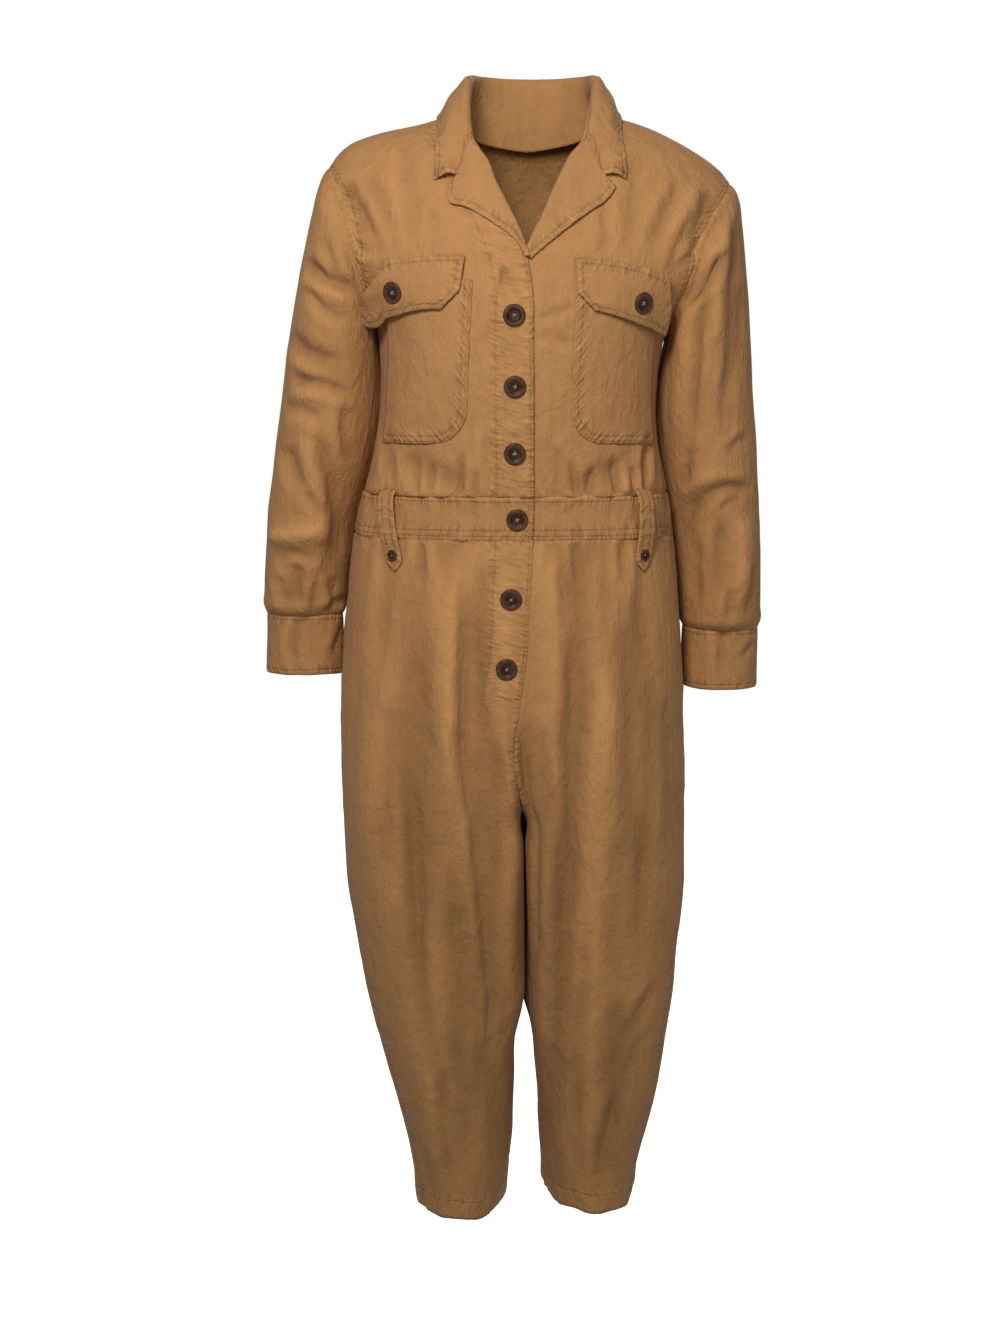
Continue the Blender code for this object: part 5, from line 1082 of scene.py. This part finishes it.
def makeLegs():
    # even rows from waist to crotch and from crotch to hem, in four panels
    top, step = form["waist"][1] - cloth["seamGap"] / 2, leg["rowSpacing"]
    upper = np.linspace(top, form["crotch"], int((top - form["crotch"]) / step) + 1)
    lower = np.linspace(form["crotch"], leg["bottom"], int((form["crotch"] - leg["bottom"]) / step) + 1)
    rows = np.concatenate([upper, lower[1:]])
    for number, (sideName, face) in enumerate((s, f) for s in sides for f in ("front", "back")):
        z, share = gridOf(rows, 0.0, 1.0, leg["columns"])
        points, centre = legPanel(sideName, face, z, share)
        centre[..., 2] = points[..., 2]
        edges = {"top": "waist", "bottom": "hem", "outer": "felled" if face == "front" else "hidden", "inner": "hidden"}
        shade, seams = bodyShade(points), None
        if face == "front" and sideName == "right":
            seams = flySeams(points, edges)
            # painted shade: the strip sunk between the pleat and the fly is also darkened in colour
            shade = shade - leg["pleatShade"] * pleatSunk(-points[..., 0], points[..., 2])
        makeCloth(f"legCloth_{face}_{sideName}", points, edges, 20 + number, axis=centre, seams=seams, shade=shade,
                  tucks=("outer",) if face == "back" else ())
        if face == "front":
            makeSidePocket(sideName, points, outwardNormals(points, centre))


makeLegs()
print("legs made")


# waistband and belt tabs
band = {"stand": 0.0006, "rows": 26, "frontColumns": 140, "backColumns": 210}
bandEdges = {"top": "band", "bottom": "bandLow"}
tab = {
    "rows": table(
        "z height halfWidth",
        (-386, 2, 10), (-390, 6.2, 10.4), (-397, 9.2, 10.4), (-412, 10.8, 10.4), (-427, 10.4, 10.4),
        (-440, 7.8, 10.4), (-452, 4.6, 10.4), (-461, 2.6, 9.6), (-471, 2, 1.2),
    ),
    "x": {"right": (0.1335, 0.1255), "left": (0.131, 0.137)},
    "buttonZ": -0.455, "lowest": -0.47, "columns": 22, "lines": 60,
}


def makeBand():
    # the body's section at each height, moved out by the band's stand and the cloth's unevenness
    rows = np.linspace(form["waist"][0], form["waist"][1] + cloth["seamGap"] / 2, band["rows"])
    for number, (sideName, sign) in enumerate(sides.items()):
        z, share = gridOf(rows, 0.0, 1.0, band["frontColumns"])
        edge = read(frontEdge, z)
        innerX = edge if sideName == "right" else edge - form["wrap"]
        side = bodyAt(z, "side")
        inner = angleAt(sign * innerX / side)
        angle = inner + (math.pi / 2 - cloth["seamGap"] / 2 / side - inner) * share
        points, normals = bodyGrid(sign, z, angle, "front")
        height = band["stand"] + unevenness(points)
        if sideName == "right":
            height = height + overlapLift(points[..., 0], z)
        points = points + normals * height[..., None]
        makeCloth(f"bandCloth_{sideName}", points, {**bandEdges, "inner": "cuff"} if sideName == "right" else bandEdges,
                  30 + number, True, tucks=("top", "bottom"), stands=[f"waistband_{sideName}"])
    z, share = gridOf(rows, -1.0, 1.0, band["backColumns"])
    angle = (math.pi / 2 - cloth["seamGap"] / 2 / bodyAt(z, "side")) * np.abs(share)
    points, normals = bodyGrid(np.sign(share), z, angle, "back")
    points = points + normals * (band["stand"] + unevenness(points))[..., None]
    makeCloth("bandCloth_back", points, bandEdges, 33, True, tucks=("inner", "outer", "top", "bottom"),
              stands=["waistband_back"])


def hipPoint(sign, x, z):  # a point of the oval front, and the oval's own slope there as its normal
    section = legSection(z)
    inBody = z > form["waist"][1]
    side = np.where(inBody, bodyAt(z, "side"), section["outer"])
    depth = np.where(inBody, bodyAt(z, "front"), section["front"])
    y = -depth * oval(x / side)
    power = form["roundness"] - 1
    normal = stacked(sign * (x / side) ** power / side, -((-y / depth) ** power) / depth, 0.0)
    return stacked(sign * x, y, z), unit(normal)


def tabPoints(sideName, z, across, height):
    # from a line between top and tip, out along the normal and across along the tangent
    top, tip = tab["x"][sideName]
    levels = tab["rows"]["z"]
    middle = top + (tip - top) * (z - levels[0]) / (levels[-1] - levels[0])
    points, normals = hipPoint(sides[sideName], middle, np.maximum(z, tab["lowest"]))
    tangent = unit(np.cross(normals, np.array([0.0, 0.0, 1.0]) + 0 * normals))
    return points + normals * height[..., None] + tangent * across[..., None]


def makeTab(sideName, seed):
    # a strip with the width and height of its table at each level
    levels = np.linspace(tab["rows"]["z"][0], tab["rows"]["z"][-1], tab["lines"])
    z, share = gridOf(levels, -1.0, 1.0, tab["columns"])
    height = read(tab["rows"], z, "height")
    width = np.interp(-z, -tab["rows"]["z"], tab["rows"]["halfWidth"])
    points = tabPoints(sideName, z, share * width, height)
    makeCloth(f"tabCloth_{sideName}", points, {"inner": "free", "outer": "free"}, seed, True, thickness=cloth["folded"],
              stands=[f"belt_tab_{sideName}"])


makeBand()
for number, sideName in enumerate(sides):
    makeTab(sideName, 36 + number)
print("waistband and tabs made")


# collar and lapels
collar = {
    "rows": table(
        "share rollX rollY rollZ fallX fallY fallZ edgeX edgeY edgeZ",
        (0, 59, -64, -27, 71, -83, -63, 99, -82, -69), (0.14, 63, -50, -2, 80, -70, -33, 97.5, -73.5, -48),
        (0.32, 65, -23, 32, 83, -38, 8, 94.5, -43, -19), (0.5, 64, 8, 48, 83, 5, 31, 95, 8, 6),
        (0.7, 50, 37, 53, 67, 53, 35, 76, 66, 4), (0.85, 27, 49, 53.5, 35, 69, 35, 39, 83, -4),
        (1, 0, 52, 53.5, 0, 73, 35, 0, 88, -6.5),
    ),
    "frontZ": -0.035, "shoulderShare": 0.5, "rollRadius": 0.003, "standIn": 0.0005, "belly": 0.0045, "drop": 0.002,
    "rollTurn": table("out up", (0, -1.25), (0.3, 0.4), (1.3, 0.75), (2.4, -0.15)),
    "arch": (0.0, -0.005, 0.003), "archReach": (0.16, 0.0), "loft": (0.0038, 0.0026), "gorge": (3, 8), "inside": 0.05,
    "steps": 96, "across": 60, "tuckIn": 0.008, "tuckSpan": (0.26, 0.42),
}
lapel = {
    "right": table(
        "share edgeX edgeZ",
        (0, 73.8, -61.9), (0.05, 80.5, -70.3), (0.08, 83, -75.2), (0.12, 83.7, -81.3), (0.16, 83.2, -87.4),
        (0.21, 80.6, -93.8), (0.28, 69, -97.1), (0.37, 56.5, -102.1), (0.48, 43.9, -109.9), (0.6, 31.4, -118.5),
        (0.76, 16.3, -129.6), (0.91, 4.7, -142.7), (1, 1, -150),
    ),
    "left": table(
        "share edgeX edgeZ",
        (0, 69.5, -62.9), (0.06, 77.4, -72.7), (0.11, 85.6, -78), (0.14, 84.9, -81.2), (0.24, 77.1, -92.2),
        (0.37, 64.3, -101), (0.54, 45.7, -115.2), (0.72, 27.2, -130.8), (0.89, 11.1, -145.1), (1, 4.5, -151.5),
    ),
    "gorge": -0.03, "height": 0.0036, "edgeLift": 0.0012, "belly": 0.0018, "least": 0.0012, "blend": (0.16, 0.0),
    "end": {"right": -0.15, "left": -0.143}, "narrow": 0.03, "lines": 130, "columns": 56, "roll": 7,
}


def neckline(sideName, share):  # neck edge of the front and half of the back, moved towards the neck
    sign = sides[sideName]
    forward = np.clip(share / collar["shoulderShare"], 0.0, 1.0)
    front = bodiceFront(sideName, collar["frontZ"] + (bodice["top"] - collar["frontZ"]) * forward, 0 * share)
    behind = np.clip((share - collar["shoulderShare"]) / (1 - collar["shoulderShare"]), 0.0, 1.0)
    back = bodiceBack(bodice["top"] + 0 * share, sign * (1 - behind))
    edge = np.where((share <= collar["shoulderShare"])[:, None], front, back)
    off = unit(np.cross(bodySlope(edge), np.gradient(edge, axis=0)))
    off *= np.sign(np.sum(off * np.array([1.0, 1.0, 0.0]) * -edge, axis=-1, keepdims=True))
    return edge + off * (cloth["thickness"] + cloth["seamGap"])


def collarSection(share, sideName):  # from the neckline over the roll to the free edge
    row = {name: read(collar["rows"], share, name, "share") for name in collar["rows"]}
    mirror = np.array([sides[sideName], 1.0, 1.0])
    roll, fall, edge = (np.stack([row[part + k] for k in "XYZ"], axis=-1) * mirror for part in ("roll", "fall", "edge"))
    base = neckline(sideName, share)
    outward = unit((fall - roll) * np.array([1.0, 1.0, 0.0]))
    up = np.array([0.0, 0.0, collar["rollRadius"]])
    turn = [roll + outward * collar["rollRadius"] * o + up * u for o, u in zip(*collar["rollTurn"].values())]
    low = base - np.array([0.0, 0.0, collar["tuckIn"]]) * ramp(share, *collar["tuckSpan"])[:, None]
    return np.stack([low, (low + roll) / 2 - outward * collar["standIn"], *turn,
                     (roll + fall) / 2 + outward * collar["belly"], fall + outward * collar["drop"],
                     (fall + edge) / 2 + outward * collar["drop"], edge], axis=1)


collarEnds = {}   # the seam line of collar and lapel on each side


def makeCollar():
    # both halves of the section, kept clear of the body, the front ends raised, in even steps across
    share = np.linspace(0.0, 1.0, collar["steps"])
    points = np.concatenate([collarSection(share, "right"), collarSection(share[:-1][::-1], "left")])
    points[:, 3:6] = clearOfBody(points[:, 3:6], collar["loft"][0])
    points[:, 6:] = clearOfBody(points[:, 6:], collar["loft"][1])
    endAway = np.concatenate([share, share[:-1][::-1]])
    points[:, 8] += np.array(collar["arch"]) * ramp(endAway, *collar["archReach"])[:, None]   # the front ends curl up
    places = lengths(points.swapaxes(0, 1))
    at = np.linspace(0.0, places[-1], collar["across"])
    gorge = np.linspace(places[collar["gorge"][0]], places[collar["gorge"][1] - 1], lapel["columns"])
    for sideName, row in (("right", 0), ("left", -1)):
        collarEnds[sideName] = curveThrough(gorge, places, points[row])
    points = curveThrough(at, places, points.swapaxes(0, 1)).swapaxes(0, 1)
    inside = points[:, 18:19] - np.array([0.0, 0.0, collar["inside"]])
    makeCloth("collarCloth", points, {"outer": "free", "top": "free", "bottom": "free"}, 40, True, inside,
              thickness=cloth["doubled"])


def lapelOutline(sideName, share):  # roll line and free edge by share of the way from gorge to end
    rollRows, edges = (rollRight if sideName == "right" else rollLeft), lapel[sideName]
    rollZ = lapel["gorge"] + (lapel["end"][sideName] - lapel["gorge"]) * share
    rollX = read(rollRows, rollZ) * sides[sideName]
    edgeX = read(edges, share, "edgeX", "share")
    return rollX, rollZ, np.maximum(edgeX, rollX + lapel["least"]), read(edges, share, "edgeZ", "share")


def makeLapel(sideName, seed):
    # even steps from roll line to edge, raised by the square and the cube of the way across
    share = np.linspace(0.0, 1.0, lapel["lines"])
    rollX, rollZ, edgeX, edgeZ = lapelOutline(sideName, share)
    across = np.linspace(0.0, 1.0, lapel["columns"])
    x, z = (a[:, None] + (b - a)[:, None] * across for a, b in ((rollX, edgeX), (rollZ, edgeZ)))
    lift = overlapLift(-x, z) if sideName == "right" else 0.0
    narrow = np.clip((edgeX - rollX) / lapel["narrow"], 0.0, 1.0)[:, None]
    height = lapel["height"] + (lapel["belly"] * (1 - across) ** 2 + lapel["edgeLift"] * across**3) * narrow + lift
    flat, normals = layOnBody(sides[sideName] * x, z, height)
    # its top is sewn to the collar's front end
    flat = flat + (collarEnds[sideName] - flat[0]) * ramp(share, *lapel["blend"])[:, None, None]
    # the turn at the roll line: half a circle from the front's edge up to the lapel
    top, up = flat[:, 0], normals[:, 0]
    out = unit(flat[:, 0] - flat[:, 1])
    radius = (lapel["height"] + lapel["belly"] * narrow) / 2
    turn = np.linspace(math.pi, 0.0, lapel["roll"])[:-1, None, None]
    rolled = top - up * radius * (1 - np.cos(turn)) + out * radius * np.sin(turn)
    points = np.concatenate([rolled.swapaxes(0, 1), flat], axis=1)
    makeCloth(f"lapelCloth_{sideName}", points, {"outer": "free", "top": "plain"}, seed, True,
              thickness=cloth["folded"])


makeCollar()
for number, sideName in enumerate(sides):
    makeLapel(sideName, 42 + number)
print("collar and lapels made")


# chest pockets and flaps
pocket = {
    "innerX": 0.0535, "top": -0.172, "bottom": -0.337, "corner": 0.036, "lines": 84, "columns": 56,
    "outer": table("z x", (-172, 150), (-215, 140), (-270, 138), (-337, 144)), "rows": (0.0018, 0.0072),
    "stitchLift": 0.0002, "stitchEnd": 0.14, "points": (400, 60),
}
flap = {
    "right": {
        "top": table(
            "x z",
            (62.5, -147.3), (86.3, -146.8), (107.9, -146.9), (125.4, -148.7), (139.5, -152.3), (144.5, -155.3),
        ),
        "bottom": table(
            "x z",
            (82.5, -200.2), (99.4, -199.6), (111.1, -200.6), (125.7, -204.7), (136, -208), (143, -216),
            (156, -217.2), (161.9, -214.7),
        ),
        "outer": table(
            "down x",
            (0, 144.5), (0.2, 148), (0.35, 156), (0.52, 162.5), (0.7, 165), (0.86, 169), (1, 161.9),
        ),
        "button": (0.1313, -0.1824),
    },
    "left": {
        "top": table(
            "x z",
            (51, -150.5), (75, -151.2), (96.7, -153.6), (114.6, -156.8), (129.5, -159.6), (147, -164.2),
        ),
        "bottom": table(
            "x z",
            (72, -202), (84.4, -204.1), (96.1, -207.2), (114.2, -212.4), (129.9, -215.6), (142.5, -219.3),
        ),
        "outer": table("down x", (0, 147), (0.2, 148.6), (0.35, 149.9), (0.5, 149.7), (0.75, 146.9), (1, 142.5)),
        "button": (0.1193, -0.1919),
    },
    "straightX": 0.13, "chamfer": 0.0155, "lift": 0.003, "taper": 0.005, "corner": 0.66, "hang": 0.6,
    "step": 0.002, "lines": 52, "columns": 80, "buttonLift": 0.0022,
}


def pocketInner(z, inset=0.0):  # x of the sewn edge, a quarter circle at its corner
    below = np.clip(pocket["bottom"] + pocket["corner"] - z, 0.0, pocket["corner"] - inset)
    return pocket["innerX"] + pocket["corner"] - np.sqrt((pocket["corner"] - inset) ** 2 - below**2)


def pocketAway(x, z):  # distance in from the sewn edge, round its corner
    right, up = x - pocket["innerX"], z - pocket["bottom"]
    turn = np.hypot(*(np.maximum(pocket["corner"] - v, 0.0) for v in (right, up)))
    return np.minimum(np.minimum(right, up), pocket["corner"] - turn)


def makePocket(sideName, seed):
    # even steps from the sewn edge to the outer one, laid on the body's front
    levels = pocket["top"] + (pocket["bottom"] - pocket["top"]) * np.linspace(0.0, 1.0, pocket["lines"]) ** 0.85
    z, share = gridOf(levels, 0.0, 1.0, pocket["columns"])
    inner = pocketInner(z)
    x = inner + (read(pocket["outer"], z) - inner) * share
    away = pocketAway(x, z)
    seam = stacked(away, *sewing["double"]["lines"], x - z)

    def laid(x, z, height):
        points, normals = layOnBody(sides[sideName] * x, z, height + cloth["layer"])
        return points + normals * foldHeight(points, normals, bodyCreases)[..., None], normals

    makeCloth(f"pocketCloth_{sideName}", laid(x, z, sewnHeight(away, x - z, "double", seed))[0], None, seed, True,
              seams={"seamAcross": seam, "seamDown": np.array([1.0, -1.0, -1.0, 0.0]) + 0 * seam})
    down, over = pocket["points"]
    for inset in pocket["rows"]:
        lineZ = np.linspace(pocket["top"], pocket["bottom"] + inset, down)
        lineX = np.linspace(pocket["innerX"] + pocket["corner"], pocket["stitchEnd"], over)
        base, up = laid(np.append(pocketInner(lineZ, inset), lineX), np.append(lineZ, lineZ[-1] + 0 * lineX),
                        pocket["stitchLift"])
        allStitches.append((standing(base), up))


def flapPoints(sideName, x, z, down, height):  # sewn along its top, its outer end hangs straight
    def laid(x):
        return layOnBody(sides[sideName] * x, z, height)[0]

    limitX = flap["straightX"]
    before, limit = laid(limitX - flap["step"] + 0 * x), laid(limitX + 0 * x)
    straight = laid(np.minimum(x, limitX)) + (limit - before) * np.maximum(x - limitX, 0.0)[..., None] / flap["step"]
    return laid(x) + (straight - laid(x)) * ramp(down, 0.0, flap["hang"])[..., None]


def flapPlace(sideName, down, share):  # from inner to outer edge by share, and from top to bottom edge by down
    shape = flap[sideName]
    innerTop = shape["top"]["x"][0]
    chamfer = flap["chamfer"] * np.clip((down - flap["corner"]) / (1 - flap["corner"]), 0.0, 1.0)
    inner = innerTop + flap["taper"] * down + chamfer
    x = inner + (read(shape["outer"], down, "x", "down") - inner) * share
    innerLow = innerTop + flap["taper"] + flap["chamfer"]
    topZ, lowZ = (read(shape[edge], start + (shape["outer"]["x"][end] - start) * share, "z", "x")
                  for edge, start, end in (("top", innerTop, 0), ("bottom", innerLow, -1)))
    return x, topZ + (lowZ - topZ) * down


def makeFlap(sideName, seed):
    # raised by the square of the way down, and more towards its outer end
    down, share = gridOf(np.linspace(0.0, 1.0, flap["lines"]), 0.0, 1.0, flap["columns"])
    x, z = flapPlace(sideName, down, share)
    height = 2 * cloth["layer"] + flap["lift"] * down**2 * (0.5 + share)
    points = flapPoints(sideName, x, z, down, height)
    makeCloth(f"flapCloth_{sideName}", points, {"top": "double", "bottom": "free", "inner": "free"}, seed, True,
              thickness=cloth["doubled"])


for number, sideName in enumerate(sides):
    makePocket(sideName, 46 + number)
    makeFlap(sideName, 48 + number)
print("pockets and flaps made")

sewStitches("seamStitches", allStitches)
print("stitches sewn")


# buttons
button = {
    "radius": 0.0115, "smallRadius": 0.0064, "around": 72, "lift": 0.0003, "tabLift": 0.0012,
    "faceRows": 22, "face": 0.46, "faceRise": 0.13, "dish": 0.01, "centre": 0.004,   # shares of the radius
    "profile": table(
        "share rise",
        (0.58, 0.205), (0.68, 0.265), (0.78, 0.295), (0.88, 0.28), (0.96, 0.215), (1, 0.13), (0.97, 0.06),
        (0.9, 0.01), (0.6, 0), (0, 0),
    ),
    "rimHighlightSpan": (0.45, 0.75), "holeAway": 0.165, "holeSpan": (0.064, 0.092), "holeDepth": 0.11,
    "turns": (0.5, 0.37, 0.9, 0.4),
    "barRows": 9, "barRound": 8, "barWidth": 0.036, "barLift": 0.19, "barBow": 0.1, "barStep": 0.03,
    "front": table("x z", (-9, -208), (-5, -279), (-3, -347), (1.5, -416), (-3, -498), (-7, -571)),
}


def tubeFaces(rows, count, start=0):  # rings joined, and both ends closed
    quads, _, _ = gridFaces(rows, count, True)
    ends = [list(range(count))[::-1], list(range((rows - 1) * count, rows * count))]
    return [[start + corner for corner in face] for face in quads.tolist() + ends]


def makeDisc(node, centre, side, over, up, radius, turn):
    # a profile turned about its axis, with four holes sunk in its face
    face = np.linspace(0.0, 1.0, button["faceRows"])
    share = np.append(face * button["face"], button["profile"]["share"])
    share[[0, -1]] = button["centre"]
    rise = np.append(button["faceRise"] + button["dish"] * face**4, button["profile"]["rise"])
    angle = -circle(button["around"])   # clockwise from above, so that the faces point outwards
    x, y, height = share[:, None] * np.cos(angle), share[:, None] * np.sin(angle), rise[:, None] + 0 * angle
    for k in range(4):
        hole, way = button["holeAway"], turn + k * math.pi / 2
        inHole = 1 - ramp(np.hypot(x - hole * np.cos(way), y - hole * np.sin(way)), *button["holeSpan"])
        height = height - button["holeDepth"] * inHole * (np.arange(len(share)) < len(face))[:, None]
    points = centre + radius * (x[..., None] * side + y[..., None] * over + height[..., None] * up)
    mesh = meshFrom("turned_" + node, points, tubeFaces(len(share), len(angle)), hornFinish)
    # painted highlight: a share from 0 on the face to 1 on the raised rim, which the horn paints lighter
    rimHighlight = np.repeat(ramp(share, *button["rimHighlightSpan"]), len(angle))
    mesh.attributes.new("rimHighlight", "FLOAT", "POINT").data.foreach_set("value", rimHighlight.astype(np.float32))
    addPiece("turned_" + node, mesh, [node])


def makeBars(node, centre, side, over, up, radius, turn):
    # two crossed runs of thread between the holes, as short round bars
    rows, count = button["barRows"], button["barRound"]
    along, angle, bars, faces = np.linspace(-1.0, 1.0, rows)[:, None], circle(count)[:, None], [], []
    for k in range(2):
        way = np.cos(turn + k * math.pi / 2) * side + np.sin(turn + k * math.pi / 2) * over
        lift = button["barLift"] - button["barBow"] * along**4 + button["barStep"] * k
        core = along * button["holeAway"] * way + lift * up
        ring = button["barWidth"] * (np.cos(angle) * np.cross(up, way) + np.sin(angle) * up)
        bars.append(centre + radius * (core[:, None] + ring))
        faces += tubeFaces(rows, count, k * rows * count)
    addPiece("thread_" + node, meshFrom("thread_" + node, np.stack(bars), faces, threadFinish), ())


def clothRise(cloths, centre, up, radius):  # how far the cloth under a disc stands above its centre
    rises = [0.0]
    for name in cloths:
        away = madePieces[name][1] - centre
        out = away @ up
        rises.extend(out[np.linalg.norm(away - out[..., None] * up, axis=-1) < radius])
    return max(rises)


def placeButton(node, point, normal, radius, turn, cloths):  # on the highest cloth below it, facing along the normal
    centre, up = standing(point), unit(normal)
    centre = centre + up * clothRise(cloths, centre, up, radius)
    side = unit(np.cross([0.0, 0.0, 1.0], up))
    for make in (makeDisc, makeBars):
        make(node, centre, side, np.cross(up, side), up, radius, turn)


def makeButtons():
    # six down the overlap, one on each flap and one on each tab, laid on the cloth there
    first, step, flapTurn, tabTurn = button["turns"]
    for number, x, z in zip(range(1, 7), *(column[:, None] for column in button["front"].values())):
        high, low = form["waist"]
        height = form["frontLift"] + band["stand"] * ((z > low) & (z < high)) + cloth["seamGap"]
        if z > low:
            points, normals = layOnBody(x, z, height)
        else:
            section = legSection(z)
            share = (abs(x) - section["middle"]) / (section["outer"] - section["middle"])
            points = stacked(x, -section["front"] * oval(abs(share)) - height - button["lift"], z)
            normals = np.array([[0.0, -1.0, 0.0]])
        placeButton(f"button_front_{number}", points[0], normals[0], button["radius"], first + number * step,
                    ["frontCloth_right", "bandCloth_right", "legCloth_front_right"])
    for sideName, sign in sides.items():
        x, z = np.array(flap[sideName]["button"])[:, None]
        height = 2 * cloth["layer"] + flap["buttonLift"]
        points = flapPoints(sideName, x, z, flap["hang"], height)
        _, normals = layOnBody(sign * np.minimum(x, flap["straightX"]), z, height)
        placeButton(f"button_flap_{sideName}", points[0], normals[0], button["radius"], flapTurn,
                    [f"flapCloth_{sideName}"])
        z = np.array([tab["buttonZ"]])
        points = tabPoints(sideName, z, np.zeros(1), read(tab["rows"], z, "height") + button["tabLift"])
        _, normals = hipPoint(sign, np.array([sum(tab["x"][sideName]) / 2]), z)
        placeButton(f"button_tab_{sideName}", points[0], normals[0], button["smallRadius"], tabTurn,
                    [f"tabCloth_{sideName}"])


makeButtons()
print("buttons made")


# floor, light and camera
studio = {
    "floorZ": -1.45, "floorSize": 60.0, "floorGlow": 0.8, "ambient": 0.24, "ambientSeen": 1.0,
    "key": {"place": (-0.3, -1.25, 0.42), "size": 0.45, "power": 16.5, "aim": (0.0, 0.0, -0.2)},
    "fill": {"place": (0.9, -2.0, -0.3), "size": 1.2, "power": 6.5, "aim": (0.0, 0.0, -0.65)},
    "back": {"place": (0.5, 2.3, 0.7), "size": 1.6, "power": 46.0, "aim": (0.0, 0.0, -0.5)},
    "camera": (-0.03, -1.75, -0.3026), "pitch": 9.33, "lens": 42.13,
}


def areaLight(name):  # a disc lamp turned from its place to its aim
    look = studio[name]
    data = bpy.data.lights.new(name, "AREA")
    data.shape, data.size, data.energy = "DISK", look["size"], look["power"]
    lamp = addObject(name, data)
    lamp.location = look["place"]
    lamp.rotation_mode = "QUATERNION"
    lamp.rotation_quaternion = (Vector(look["place"]) - Vector(look["aim"])).to_track_quat("Z", "Y")


def makeFloor():
    material, _, shader = newMaterial("paleFloor")
    fill(shader, {"Base Color": (0.92, 0.92, 0.92, 1.0), "Roughness": 0.9, "Emission Color": (1.0, 1.0, 1.0, 1.0),
                  "Emission Strength": studio["floorGlow"]})
    corners = np.array([(-1, -1), (1, -1), (1, 1), (-1, 1)]) * studio["floorSize"] / 2
    points = np.insert(corners, 2, studio["floorZ"], axis=1)
    floor = addObject("floor", meshFrom("floor", points, [(0, 1, 2, 3)], material, smooth=False))
    floor.visible_diffuse = False   # its glow is only seen, and casts no light on the suit


def makeStudio():
    makeFloor()
    world = bpy.data.worlds.new("softRoom")
    world.use_nodes = True
    seen = times(addNode(world.node_tree, "LightPath")["Is Camera Ray"], studio["ambientSeen"] - studio["ambient"])
    backdrop = world.node_tree.nodes["Background"].inputs
    fill(backdrop, {"Color": (1.0, 1.0, 1.0, 1.0), "Strength": plus(studio["ambient"], seen)})
    for name in ("key", "fill", "back"):
        areaLight(name)
    data = bpy.data.cameras.new("camera")
    data.lens, data.sensor_width = studio["lens"], 36.0
    camera = addObject("camera", data)
    camera.location = studio["camera"]
    camera.rotation_euler = (math.radians(90.0 - studio["pitch"]), 0.0, 0.0)
    scene = bpy.context.scene
    scene.world, scene.camera, scene.view_settings.view_transform = world, camera, "Standard"


makeStudio()
print("studio ready")

bpy.context.view_layer.update()
